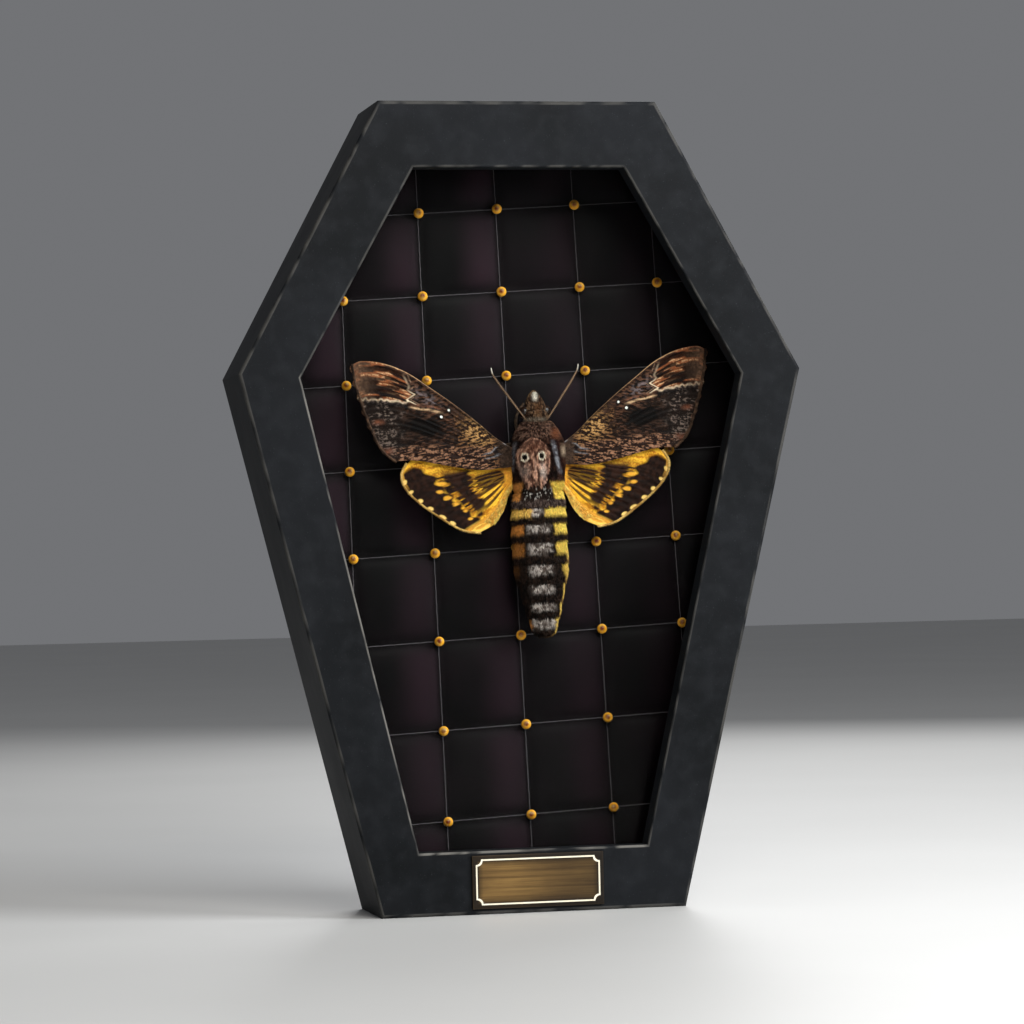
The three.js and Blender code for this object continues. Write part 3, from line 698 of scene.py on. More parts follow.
def build_lining(material):
    """The quilted pad, a closed form cut to the case's inside."""
    (first, last), (top, bottom) = PAD_COLUMNS, PAD_ROWS
    columns = np.linspace(first, last, (last - first) * PAD_FINE + 1)
    rows = np.linspace(top, bottom, (bottom - top) * PAD_FINE + 1)
    column, row = (grid.ravel() for grid in np.meshgrid(columns, rows))
    flat = np.stack(quilt_place(column, row), 1)
    depth = inside_pad(flat)
    # A corner just outside the outline is drawn back onto it
    for corner, inward in PAD_EDGES * 3:
        flat = flat - np.minimum((flat - corner) @ inward, 0)[:, None] * inward
    quads = grid_quads(len(rows), len(columns))
    quads = quads[(depth > -PAD_OVERLAP)[quads].all(1)]
    used, quads = np.unique(quads, return_inverse=True)
    quads = quads.reshape(-1, 4)
    column, row, depth, flat = column[used], row[used], depth[used], flat[used]
    front_y = lerp(PAD_EDGE_Y, quilt_front(column, row), smooth(0, PAD_EDGE_WIDTH, depth))
    points = np.concatenate([np.insert(flat, 1, y, axis=1) for y in (front_y, PAD_BACK_Y)])
    count = len(used)
    walls = np.array([(b, a, a + count, b + count) for a, b in border_edges(quads)])
    piece = array_object("quilted_lining", points * MM, [quads, quads[:, ::-1] + count, walls], material)
    # The painted sheen lies towards the right of each square and is weaker in the right half of the case
    across, down = column - np.floor(column), row - np.floor(row)
    painted_sheen = hump(0.8, 0.42, across) * window(0, 0.15, 0.8, 1, down)
    painted_sheen = painted_sheen * (0.35 + 0.65 * noise(np.floor(column) * 3.7, np.floor(row) * 2.9, 5))
    painted_sheen = painted_sheen * (0.55 + 0.45 * cloud(column * 2, row * 1.5, 9))
    painted_sheen = painted_sheen * lerp(1.0, 0.25, smooth(0, 2.2, column))
    set_colour(piece, "painted_sheen", np.concatenate([painted_sheen, painted_sheen * 0]))
    place(piece, ["lining"])
    sharp_corners(piece, 60)


TUBE_SIDE = (0.3, 1, 0.2)


def tube(path, radius, sides):
    """A closed round tube: vertices and faces along a list of points."""
    side = unit(np.cross(unit(np.gradient(path, axis=0)), TUBE_SIDE))
    lift = np.cross(side, unit(np.gradient(path, axis=0)))
    angles = ring_angles(sides)[:, None]
    ring = np.cos(angles) * side[:, None] + np.sin(angles) * lift[:, None]
    radii = np.broadcast_to(radius, len(path))[:, None, None]
    return (path[:, None] + radii * ring).reshape(-1, 3), capped_faces(len(path), sides)


def join_parts(name, parts, material):
    vertices, faces = [], []
    for part_vertices, part_faces in parts:
        base = len(vertices)
        vertices += list(part_vertices)
        faces += [tuple(base + i for i in face) for face in part_faces]
    return new_object(name, np.array(vertices) * MM, faces, material)


SEAM_LINES = range(-3, 10)
THREAD_RADIUS = 0.12
THREAD_SIDES = 5
THREAD_STEPS = 60
THREAD_FEWEST = 4
THREAD_GAP = 0.03
THREAD_MARGIN = 0.8
THREAD_SINK = 0.06
THREAD_WANDER = 0.0012
THREAD_WAVE = 0.05


def build_seams(material):
    """A fine thread along each line of the quilting, from crossing to crossing."""
    parts = []
    for vertical in (True, False):
        for line in SEAM_LINES:
            for cell in SEAM_LINES:
                along = np.linspace(cell + THREAD_GAP, cell + 1 - THREAD_GAP, THREAD_STEPS)
                fixed = line + THREAD_WANDER * np.sin(along * 40)
                columns, rows = (fixed, along) if vertical else (along, fixed)
                x, z = quilt_place(columns, rows)
                inside = inside_pad(np.stack([x, z], 1)) > THREAD_MARGIN
                if inside.sum() < THREAD_FEWEST:
                    continue
                y = quilt_front(columns, rows) + THREAD_WAVE * np.sin(along * 60) - THREAD_SINK
                parts.append(tube(np.stack([x, y, z], 1)[inside], THREAD_RADIUS, THREAD_SIDES))
    place(join_parts("seam_threads", parts, material))


BEAD_RINGS = 12
BEAD_SIDES = 20
BEAD_FLATNESS = 0.94
# Painted shade on each bead: its centre, a little up and left of the front, how far it spreads and how dark
# the back is
BEAD_SHADE_CENTRE = (-0.18, -0.75, 0.12)
BEAD_SHADE_EDGE = (0.3, 0.8)
BEAD_REAR_SHADE = 0.6
BEAD_SMALLEST = 0.99
BEAD_SPREAD = 0.04


def build_beads(material):
    """Round beads, each a little flattened from front to back, with painted shade in the middle of the front
    and on the back.
    """
    nodes = sorted(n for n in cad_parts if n.startswith("bead_"))
    turns = math.pi * np.arange(1, BEAD_RINGS) / BEAD_RINGS
    rings = ball(turns[:, None], ring_angles(BEAD_SIDES)[None])[..., (0, 2, 1)].reshape(-1, 3)
    offsets = np.concatenate([[(0, 1, 0)], rings, [(0, -1, 0)]]) * (1, -BEAD_FLATNESS, 1)
    core_shade = 1 - smooth(*BEAD_SHADE_EDGE, np.linalg.norm(offsets - BEAD_SHADE_CENTRE, axis=1))
    core_shade[0], core_shade[-1] = 1, BEAD_REAR_SHADE
    vertices, faces = [], []
    for number, node in enumerate(nodes):
        radius = BEAD_RADIUS * MM * (BEAD_SMALLEST + BEAD_SPREAD * hash01(number, 1, 2))
        base = len(offsets) * number
        last = base + len(offsets) - 1
        vertices.append(np.mean(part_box(node), axis=0) + radius * offsets)
        for k in range(BEAD_SIDES):
            m = (k + 1) % BEAD_SIDES
            faces.append((base, base + 1 + m, base + 1 + k))
            faces.append((last - BEAD_SIDES + k, last - BEAD_SIDES + m, last))
        faces += [(base + 1 + a, base + 1 + d, base + 1 + c, base + 1 + b)
                  for a, b, c, d in ring_faces(BEAD_RINGS - 1, BEAD_SIDES)]
    piece = new_object("beads", np.concatenate(vertices), faces, material)
    set_colour(piece, "core_shade", np.tile(core_shade, len(nodes)))
    place(piece, nodes)


# Rings of the plate over its rim: inset, y from the solid's front and darkness. The last one's inset is
# taken from the middle.
PLATE_RINGS = (
    (0.0, 0.34, 1.0), (0.12, 0.16, 0.85), (0.4, 0.1, 0.95),
    (1.6, 0.1, 0.95), (2.4, 0.1, 0.5), (3.4, 0.1, 0.2),
)
PLATE_MIDDLE = (0.3, 0.1, 0.05)
PLATE_STEPS = 12
PLATE_SHADE = 0.55
LINE_INSETS = (1.15, 1.6)
LINE_NOTCH = 1.6
LINE_Y = (0.12, 0.02)


def notched_rectangle(half_x, half_z, notch, steps=8):
    """A rectangle whose corners are scooped in by a quarter circle."""
    points = []
    for sx, sz, start in ((1, 1, 270), (-1, 1, 360), (-1, -1, 90), (1, -1, 180)):
        for k in range(steps + 1):
            turn = math.radians(start - 90 * k / steps)
            points.append((sx * half_x + notch * math.cos(turn), sz * half_z + notch * math.sin(turn)))
    return np.array(points)


def build_plaque(plate_material, line_material):
    """A brushed plate with a stepped rim and a raised border line, bare inside."""
    low, high = np.array(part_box("plaque")) / MM
    middle, half = (low + high) / 2, (high - low) / 2
    front = low[1]
    rings = [(0.0, high[1], 1.0), *((inset, front + y, dark) for inset, y, dark in PLATE_RINGS)]
    rings.append((half[2] - PLATE_MIDDLE[0], front + PLATE_MIDDLE[1], PLATE_MIDDLE[2]))
    vertices, rim_and_shade = [], []
    for inset, y, dark in rings:
        hx, hz = half[0] - inset, half[2] - inset
        for sx, sz, dx, dz in ((-1, -1, 1, 0), (1, -1, 0, 1), (1, 1, -1, 0), (-1, 1, 0, -1)):
            for share in np.arange(PLATE_STEPS) / PLATE_STEPS:
                x = sx * hx + dx * 2 * hx * share
                vertices.append((middle[0] + x, y, middle[2] + sz * hz + dz * 2 * hz * share))
                # The rim's darkness, and painted shade that grows towards the plate's right
                rim_and_shade.append(dark + (1 - dark) * PLATE_SHADE * smooth(-0.5, 0.6, x / half[0]))
    faces = capped_faces(len(rings), 4 * PLATE_STEPS)
    plate = new_object("plaque_plate", np.array(vertices) * MM, faces, plate_material)
    set_colour(plate, "rim_and_shade", rim_and_shade)
    sharp_corners(plate, 30)
    place(plate, ["plaque"])
    vertices = []
    for inset, levels in zip(LINE_INSETS, (LINE_Y, LINE_Y[::-1])):
        outline = notched_rectangle(half[0] - inset, half[2] - inset, LINE_NOTCH) + middle[[0, 2]]
        vertices += [np.insert(outline, 1, front + y, axis=1) for y in levels]
    points = np.stack(vertices, 1).reshape(-1, 3) * MM
    line = new_object("plaque_border", points, ring_faces(len(outline), 4, True), line_material, False)
    place(line)


SCREW_PROFILE = ((0.4, 0.42), (1.4, 0.36), (2.0, 0.16), (2.2, -0.1), (2.2, -0.6))
SCREW_SIDES = 24
SCREW_SLOT_HALF = 0.22
SCREW_SLOT_LIFTS = (0.2, 0.43)


def screw_head(x, z):
    angles = ring_angles(SCREW_SIDES)
    circle = np.stack([np.cos(angles), 0 * angles, np.sin(angles)], 1)
    rings = [radius * circle + (x, REAR_Y + lift, z) for radius, lift in SCREW_PROFILE]
    return np.concatenate(rings), capped_faces(len(SCREW_PROFILE), SCREW_SIDES)


# A dark box over a screw head that stands for the shade in its slot
def screw_slot(x, z, turn):
    along = np.array([math.cos(turn), 0, math.sin(turn)]) * SCREW_PROFILE[1][0]
    across = np.array([-math.sin(turn), 0, math.cos(turn)]) * SCREW_SLOT_HALF
    corners = [along + across, along - across, -along - across, -along + across]
    box = [np.array([x, REAR_Y + lift, z]) + corner for lift in SCREW_SLOT_LIFTS for corner in corners]
    return box, capped_faces(2, 4)


def build_back_screws(material, slot_material):
    """Six slotted screws hold the back board in its rebate; a dark box on each head is painted shade in its
    slot.
    """
    corners = lerp(OUTER, OPENING, SCREW_SHARE)
    places = (corners + np.roll(corners, -1, 0)) / 2
    heads = [screw_head(x, z) for x, z in places]
    slots = [screw_slot(x, z, math.pi * hash01(i, 4, 9)) for i, (x, z) in enumerate(places)]
    pieces = (("back_screws", heads, material), ("back_screw_slot_shades", slots, slot_material))
    for name, parts, shader in pieces:
        piece = join_parts(name, parts, shader)
        place(piece)
        sharp_corners(piece, 30)


# The moth's body

# Sections of thorax and head: z, half width, half depth and y of the middle
BODY_SECTIONS = np.array([
    (-11.6, 7.3, 5.4, 0), (-10.2, 7.9, 5.8, -0.2), (-6.5, 8.1, 6.1, -0.4), (-2, 8.5, 6.3, -0.5),
    (2.5, 8.3, 6.2, -0.5), (5.5, 7.3, 5.7, -0.4), (7.8, 5.9, 4.8, -0.2), (9.2, 4.7, 4.1, 0),
    (9.7, 3.9, 3.7, 0), (10.6, 4.1, 3.9, 0), (12.6, 3.9, 3.8, 0.1), (14.6, 3.2, 3.3, 0.3),
    (16.4, 2.3, 2.5, 0.6), (17.8, 1.3, 1.5, 0.8), (18.4, 0.6, 0.7, 0.9),
])
BODY_BEND = 0.85
BEND_START_Z = -25
BEND_END_Z = 0
ABDOMEN_FRONT_Z = -11.9
ABDOMEN_LENGTH = 43.3
ABDOMEN_HALF_WIDTH = 8.3
ABDOMEN_FRONT_WIDTH_SHARE = 0.92
ABDOMEN_FULL_SHARE = 0.2
ABDOMEN_TAPER_SHARE = 0.53
ABDOMEN_TAPER = 1.3
ABDOMEN_END_SHARE = 0.955
ABDOMEN_DEPTH_SHARE = 0.74
ABDOMEN_Y = 0.2
SEGMENT_EDGES = (-11.9, -16.2, -20.8, -26.4, -33.0, -39.0, -44.6, -49.2, -55.2)
SEGMENT_STEP = 0.35
NECK_Z = 9.3
THORAX_COAT = 0.75
HEAD_COAT = 0.5
ABDOMEN_COAT = 0.4
EYE_RADIUS = 1.9
EYE_PLACE = (3.1, 0.5, 12.6)
CROWN_Z = 12.8
WAIST = (-12.1, -11.4)
LUMP_HEIGHT = 0.12
LEAST_RADIUS = 0.12
SKIN_ENDS = (18.25, -55.1)
SKIN_ROWS = 400
SKIN_SIDES = 120
# The skin under the coat is painted darker, as shade among the hair
SKIN_SHADE = 0.75

# The set body is rolled a little, so that the middle of its back faces left of straight out
BODY_ROLL = math.radians(12)


def curve_table(keys, values, at):
    """A smooth curve through values at rising keys."""
    keys = np.asarray(keys, float)
    values = np.asarray(values, float)
    slope = np.gradient(values, keys)
    i = np.clip(np.searchsorted(keys, at) - 1, 0, len(keys) - 2)
    span = keys[i + 1] - keys[i]
    t = np.clip((at - keys[i]) / span, 0, 1)
    lead = t * (1 - t) ** 2 * span * slope[i]
    trail = t * t * (t - 1) * span * slope[i + 1]
    return lerp(values[i], values[i + 1], smooth(0, 1, t)) + lead + trail


def segment_at(z):
    """Which abdomen segment holds z, and how far back in it, from 0 to 1."""
    edges = -np.array(SEGMENT_EDGES)
    k = np.clip(np.searchsorted(edges, -z) - 1, 0, len(edges) - 2)
    return k, np.clip((-z - edges[k]) / (edges[k + 1] - edges[k]), 0, 1)


def body_section(z):
    """Half width, half depth and depth of the middle of the coated body at height z."""
    share = np.clip((ABDOMEN_FRONT_Z - z) / ABDOMEN_LENGTH, 0, 1)
    full = np.sin(np.minimum(share / ABDOMEN_FULL_SHARE, 1) * math.pi / 2)
    front = lerp(ABDOMEN_FRONT_WIDTH_SHARE, 1, full)
    taper = 1 - ABDOMEN_TAPER * np.maximum(share - ABDOMEN_TAPER_SHARE, 0)
    beyond = np.maximum(share - ABDOMEN_END_SHARE, 0) / (1 - ABDOMEN_END_SHARE)
    rear = taper * np.sqrt(1 - np.minimum(beyond, 1) ** 2)
    _, within = segment_at(z)
    ridge = SEGMENT_STEP * window(0, 0.7, 0.95, 1, within) * smooth(0.99, 0.85, share)
    width = np.maximum(ABDOMEN_HALF_WIDTH * front * rear, 0.5) + ridge
    abdomen = np.stack([width, width * ABDOMEN_DEPTH_SHARE, np.full_like(z, ABDOMEN_Y)], -1)
    chest = np.stack([curve_table(BODY_SECTIONS[:, 0], BODY_SECTIONS[:, k], z) for k in (1, 2, 3)], -1)
    return lerp(abdomen, chest, smooth(*WAIST, z)[..., None])


def coat_depth(z):
    """How far the skin lies under the coat."""
    thorax = lerp(ABDOMEN_COAT, THORAX_COAT, smooth(-13, -10.5, z))
    return lerp(thorax, HEAD_COAT, smooth(8.6, 10, z))


def axis_at(z):
    """How far the body's middle lies to its right at height z."""
    return BODY_BEND * smooth(BEND_START_Z, BEND_END_Z, z)


def body_point(z, turn, depth):
    """A point of the body at height z and at an angle from the middle of its back."""
    half = body_section(z)
    lumps = LUMP_HEIGHT * (cloud(turn * 2.5 + 9, z * 0.5, 3) - 0.5)
    wide, deep = (np.maximum(half[..., k] - depth + lumps, LEAST_RADIUS) for k in (0, 1))
    return np.stack([axis_at(z) + wide * np.sin(turn), half[..., 2] - deep * np.cos(turn), z], -1)


def rolled(points):
    """Distance to the side, and angle, from the middle of the back, with the body's roll."""
    c, s = math.cos(BODY_ROLL), math.sin(BODY_ROLL)
    side = points[..., 0] * c - points[..., 1] * s
    back = -points[..., 1] * c - points[..., 0] * s
    return side, np.arctan2(side, back)


# The mark's outline, as z and half width, and the patches on it; the pale one on the right cheek is a painted
# highlight
SKULL_OUTLINE = np.array([
    (-11.6, 0.5), (-10.4, 2.0), (-8.5, 3.2), (-6.5, 3.9), (-4, 4.5), (-1.5, 4.9), (0.8, 4.5), (2.8, 3.3),
    (3.9, 2.1), (4.8, 0.2),
])
SKULL_MIDDLE = -0.4
SKULL_EYES = ((-2.96, -0.9), (1.9, -0.7))
SKULL_PATCHES_AND_HIGHLIGHT = (
    ((238, 216, 204), 2.4, 1.6, -5.2, 3.6, 0.85),
    ((232, 186, 162), 0.35, 0.6, -4.5, 4.0, 0.85),
    ((108, 66, 50), 0.2, 1.3, 1.0, 2.2, 0.6),
    ((46, 24, 20), -0.8, 0.4, -6, 3.2, 0.9),
    ((52, 28, 24), 1.3, 0.35, -6.4, 2.8, 0.8),
)
JAW_HIGHLIGHT = ((240, 190, 170), 2.3, 0.9, -8.7, 1.1, 0.85)
SHOULDER_PATCH = ((140, 84, 58), 6, 2.0, 5.6, 2.6, 0.8)
CROWN_PATCH = ((112, 76, 50), 1.6, 1.7, 13, 2.6, 0.6)
EYE_RING = (44, 24, 20)
EYE_WHITE = (250, 226, 202)
EYE_BLACK = (14, 8, 6)


def skull_colour(side, z, colour):
    """The pale mark on the thorax: a rounded cranium, two ringed eyes, cheeks and a dark jaw, with painted
    highlights on the right cheek and jaw and painted shade greying its left half.
    """
    half = curve_table(SKULL_OUTLINE[:, 0], SKULL_OUTLINE[:, 1], z)
    inside = (z > SKULL_OUTLINE[0, 0]) & (z < SKULL_OUTLINE[-1, 0])
    across = side - SKULL_MIDDLE
    reach = np.abs(across) - half + 0.5 * (noise(side * 0.9, z * 0.9, 51) - 0.5)
    colour = paint(colour, (30, 15, 13), 0.9 * hump(0.7, 0.8, reach) * inside)
    mark = (1 - smooth(-0.25, 0.25, reach)) * inside
    bone = blend((220, 166, 138), (98, 62, 50), 0.38, 0.6, cloud(side * 1.7, z * 0.9, 53))
    bone = paint(bone, (116, 74, 58), smooth(0.2, 2.2, z) * 0.65)
    bone = paint(bone, (214, 164, 140), hump(-0.45, 0.4, reach) * smooth(-7, -5, z) * 0.6)
    # Painted shade: the left half of the mark is greyer
    bone = paint(bone, (128, 114, 108), smooth(0.3, 2.2, -across) * hump(-5, 4.2, z) * 0.7)
    bone = paint_patches(bone, SKULL_PATCHES_AND_HIGHLIGHT, across, z)
    brow = hump(0.35, 0.45, np.abs(np.hypot(across, (z + 0.4) * 0.95) - 3.7)) * smooth(0.6, 1.8, z)
    bone = paint(bone, (60, 32, 26), 0.75 * brow)
    teeth = smooth(0.4, 0.56, noise(side * 2.3 + 4, z * 0.8, 57)) * hump(-9.8, 2.2, z)
    bone = paint(bone, (38, 25, 22), teeth)
    # The pale patch on the right of the jaw is a painted highlight
    colour = paint(colour, paint_patches(bone, [JAW_HIGHLIGHT], side, z), mark)
    for spot_side, spot_z in SKULL_EYES:
        far = np.hypot(side - spot_side, (z - spot_z) * 0.85)
        colour = paint(colour, EYE_RING, hump(1.6, 0.35, far) * mark * 0.7)
        colour = paint(colour, EYE_WHITE, 1 - smooth(1.0, 1.25, far))
        colour = paint(colour, EYE_BLACK, 1 - smooth(0.62, 0.78, far))
    return colour


def shoulder_lines(side, z, colour):
    """A slate line with a dark outer edge on each side of the mark, and a tan patch beyond it; the line and
    patch on the left are painted fainter, as painted shade.
    """
    line = 5.3 + (3.3 - z) / 8.8 * 1.5
    along = window(-6.6, -5.4, 3.2, 4.2, z)
    slate = blend((170, 170, 178), (108, 102, 108), 0.4, 0.6, noise(side * 2, z * 1.2, 27))
    # The left line and patch are weaker: painted shade on the side away from the light
    for hand, strength in ((1, 0.95), (-1, 0.35)):
        out = side * hand - line
        colour = paint(colour, slate, hump(0, 0.95, out) * along * strength)
        colour = paint(colour, (46, 24, 22), hump(1.15, 0.5, out) * along)
        colour = paint_patches(colour, [((188, 162, 138), 8.0, 1.1, 0.6, 2.6, strength)], side * hand, z)
    return colour


def thorax_colour(side, turn, z):
    colour = blend((66, 42, 33), (28, 18, 15), 0.35, 0.62, cloud(side * 0.9 + 3, z * 0.9, 21))
    collar = blend((122, 92, 78), (50, 32, 26), 0.35, 0.6, noise(side * 3.1, z * 3.1, 25))
    colour = paint(colour, collar, smooth(3.4, 5.2, z) * (1 - smooth(4.5, 6.4, np.abs(side)) * 0.7))
    colour = paint_patches(colour, [SHOULDER_PATCH], side, z)
    colour = shoulder_lines(side, z, skull_colour(side, z, colour))
    # Yellow patches at the thorax's rear sides; the left one is painted darker, as painted shade
    flank = smooth(4.3, 5.1, np.abs(side) + 0.25 * (z + 12)) * smooth(-8.0, -9.2, z)
    colour = paint(colour, pick(side > 0, (255, 206, 92), (206, 138, 72)), flank)
    tongue = smooth(-9.8, -11.0, z) * (1 - smooth(3.9, 4.6, np.abs(side)))
    dark = blend((36, 26, 22), (196, 188, 180), 0.66, 0.78, noise(side * 2.4, z * 2.0, 29))
    colour = paint(colour, dark, tongue * 0.95)
    return paint(colour, (150, 108, 62), smooth(1.6, 2.0, np.abs(turn)))


def head_colour(side, turn, z):
    colour = blend((50, 33, 24), (112, 86, 66), 0.45, 0.75, noise(side * 2.8, z * 2.2, 61))
    colour = paint(colour, (150, 134, 118), hump(10.2, 1.1, z) * (1 - smooth(3, 4.2, np.abs(side))) * 0.8)
    colour = paint_patches(colour, [CROWN_PATCH], side, z)
    colour = paint(colour, (232, 222, 206), hump(0.9, 1.2, side) * smooth(14.8, 16.4, z))
    return paint(colour, (120, 92, 62), smooth(1.7, 2.1, np.abs(turn)))


# From front to back: where yellow starts to each side, and how strong it is right and left; the left is
# weaker as painted shade
YELLOW_STARTS = np.array((9, 1.8, 4.3, 4.5, 6.1, 7.4, 6.0, 3.4))
YELLOW_RIGHT = np.array((0, 1, 1, 1, 0.75, 0.35, 0.7, 0.95))
YELLOW_LEFT_SHADED = np.array((0, 0.95, 0.7, 0.45, 0.12, 0.03, 0.3, 0.8))


def abdomen_colour(side, turn, z):
    """Dark rings with a pale grey middle and yellow sides, ash brown in front and pale below; the left side's
    yellow is painted darker and fainter, as painted shade.
    """
    segment, within = segment_at(z)
    wave = within + 0.12 * (noise(side * 0.8, z * 0.5, 71) - 0.5)
    fine = noise(side * 2.6, z * 2.6, 73)
    colour = blend((52, 38, 31), (20, 14, 12), 0.3, 0.65, fine)
    pale = smooth(0.02, 0.12, within) * (1 - smooth(0.38, 0.68, wave)) * (segment > 0)
    grey = blend((204, 190, 182), (88, 74, 68), 0.35, 0.68, cloud(side * 1.2, z * 1.6, 75))
    colour = paint(colour, grey, pale * (1 - smooth(2.4, 4.3, np.abs(side))))
    strength = np.where(side > 0, YELLOW_RIGHT[segment], YELLOW_LEFT_SHADED[segment])
    start = YELLOW_STARTS[segment] - 1.1 * (noise(z * 1.4, side, 77) - 0.5)
    patch = smooth(-0.3, 0.7, np.abs(side) - start) * window(0.0, 0.12, 0.5, 0.74, wave)
    # Behind the first band the left patches are painted a darker orange, as painted shade
    left_gold = pick(segment == 1, (255, 198, 100), (234, 150, 72))
    colour = paint(colour, pick(side > 0, (255, 210, 98), left_gold), patch * strength)
    ash = blend((112, 94, 88), (58, 44, 40), 0.4, 0.6, fine)
    colour = paint(colour, ash, (segment == 0) * 0.9)
    margin = smooth(1.36, 1.5, turn) * smooth(-27, -31, z)
    belly = blend((232, 190, 96), (128, 92, 54), 0.7, 0.95, within)
    return paint(colour, belly, np.maximum(margin, smooth(1.75, 2.0, np.abs(turn))))


def body_colour(points):
    """The coat's colour at points of the body, in the moth's own frame."""
    side, turn = rolled(points)
    z = points[..., 2]
    ragged = z + 0.5 * (noise(side * 1.6, z * 0.3, 81) - 0.5)
    colour = blend(abdomen_colour(side, turn, z), thorax_colour(side, turn, z), -14.1, -13.7, ragged)
    return blend(colour, head_colour(side, turn, z), 9.0, 9.5, ragged)


def build_skin(material):
    """One unbroken skin from the head to the tip of the abdomen."""
    rows = np.linspace(*SKIN_ENDS, SKIN_ROWS)
    turns = np.linspace(-math.pi, math.pi, SKIN_SIDES, endpoint=False)
    z, turn = np.meshgrid(rows, turns, indexing="ij")
    points = body_point(z, turn, coat_depth(z)).reshape(-1, 3)
    tips = [points[:SKIN_SIDES].mean(0) + (0, 0, 0.1), points[-SKIN_SIDES:].mean(0) - (0, 0, 0.1)]
    first, last, end = len(points), len(points) + 1, len(points) - SKIN_SIDES
    points = np.concatenate([points, tips])
    quads = np.array(ring_faces(SKIN_ROWS, SKIN_SIDES))
    ring = np.arange(SKIN_SIDES)
    following = np.roll(ring, -1)
    caps = np.concatenate([
        np.stack([np.full(SKIN_SIDES, first), ring, following], -1),
        np.stack([np.full(SKIN_SIDES, last), end + following, end + ring], -1),
    ])
    piece = array_object("moth_skin", moth_to_world(points), [quads, caps], material)
    set_colour(piece, "pattern", body_colour(points) * SKIN_SHADE)
    place(piece, ["thorax", "head", "abdomen"])


# Each tuft has three corners at its root, three halfway along, and a tip
TUFT_STAGES = ((0.0, 1.0, -0.12), (0.5, 0.8, 0.72))
TUFT_SIDES = np.array([(0, 2, 5, 3), (2, 1, 4, 5), (1, 0, 3, 4)])
TUFT_ENDS = np.array([(3, 5, 6), (5, 4, 6), (4, 3, 6), (0, 1, 2)])
# Painted shade: each tuft is darker at its root, deep in the coat, and lighter towards its tip
TUFT_SHADES = np.array((0.7, 0.7, 0.7, 1.05, 1.05, 1.05, 1.15))
TUFT_UVS = np.array([(-1, -1), (1, -1), (0, -1), (-0.6, 0.2), (0.6, 0.2), (0, 0.2), (0, 1)]) * 0.0015
TUFT_THICKNESS = 0.7
TUFT_SWING = 0.28
EYE_CLEARANCE = 0.25
# Least and most share of a tuft's usual length, width, rise and brightness
COAT_LENGTHS = (0.7, 1.25)
COAT_WIDTHS = (0.75, 1.25)
COAT_RISES = (0.7, 1.05)
COAT_SHADES = (0.78, 1.25)
COLOUR_REACH = 0.4


def tuft_mesh(name, material, roots, normals, lies, lengths, widths, rises, colours, uvs):
    """Many tufts of scales, each a curved three sided spike that lies over the skin."""
    across = unit(np.cross(normals, lies))
    corners = []
    for along, breadth, height in TUFT_STAGES:
        centre = roots + lies * (lengths * along)[:, None] + normals * (rises * height)[:, None]
        half = (widths * breadth)[:, None]
        corners += [centre + across * half, centre - across * half]
        corners.append(centre + normals * half * TUFT_THICKNESS)
    corners.append(roots + lies * lengths[:, None] + normals * rises[:, None])
    vertices = np.stack(corners, 1).reshape(-1, 3)
    base = np.arange(len(roots))[:, None, None] * len(corners)
    faces = [(base + part).reshape(-1, part.shape[1]) for part in (TUFT_SIDES, TUFT_ENDS)]
    piece = array_object(name, moth_to_world(vertices), faces, material)
    set_colour(piece, "pattern", (colours[:, None, :] * TUFT_SHADES[:, None]).reshape(-1, 3))
    set_uv(piece, (uvs[:, None, :] + TUFT_UVS).reshape(-1, 2))
    return piece


def eye_middle(side):
    return np.array([side * EYE_PLACE[0] + axis_at(EYE_PLACE[2]), EYE_PLACE[1], EYE_PLACE[2]])


def build_coat(name, material, slot, low, high, count, length, width, lean):
    """The coat between two heights: tufts that lie back along the body, or forward on the crown."""
    z = RNG.uniform(low, high, count * 2)
    turn = RNG.uniform(-math.pi, math.pi, count * 2)
    size = body_section(z)[:, 0]
    keep = RNG.uniform(0, 1, count * 2) < size / size.max()
    z, turn = z[keep][:count], turn[keep][:count]
    depth = coat_depth(z)
    roots = body_point(z, turn, depth)
    along = unit(body_point(z + 0.05, turn, depth) - roots)
    round_body = unit(body_point(z, turn + 0.01, depth) - roots)
    normals = unit(np.cross(round_body, along))
    outward = roots - np.stack([axis_at(z), body_section(z)[:, 2], z], -1)
    normals *= np.sign((normals * outward).sum(1))[:, None]
    swing = RNG.normal(0, TUFT_SWING, len(z)) + lean * np.sin(turn)
    back = np.where(z > CROWN_Z, -1.0, 1.0)
    lies = unit(-along * (back * np.cos(swing))[:, None] + round_body * np.sin(swing)[:, None])
    eyes = np.min([np.linalg.norm(roots - eye_middle(side), axis=1) for _, side in HANDS], axis=0)
    clear = eyes > EYE_RADIUS + EYE_CLEARANCE
    roots, normals, lies, z, turn, depth = (a[clear] for a in (roots, normals, lies, z, turn, depth))
    amount = len(z)
    lengths = length * RNG.uniform(*COAT_LENGTHS, amount)
    widths = width * RNG.uniform(*COAT_WIDTHS, amount)
    rises = depth * RNG.uniform(*COAT_RISES, amount)
    colours = body_colour(roots + lies * (lengths * COLOUR_REACH)[:, None])
    colours = colours * RNG.uniform(*COAT_SHADES, (amount, 1))
    uvs = np.stack([turn / (2 * math.pi) + 0.5, (z - low) / (high - low)], -1)
    piece = tuft_mesh(name, material, roots, normals, lies, lengths, widths, rises, colours, uvs)
    place(piece)


EYE_RINGS = 40
EYE_SIDES = 64
FACET_HEIGHT = 0.008
EYE_SHARE = 0.985


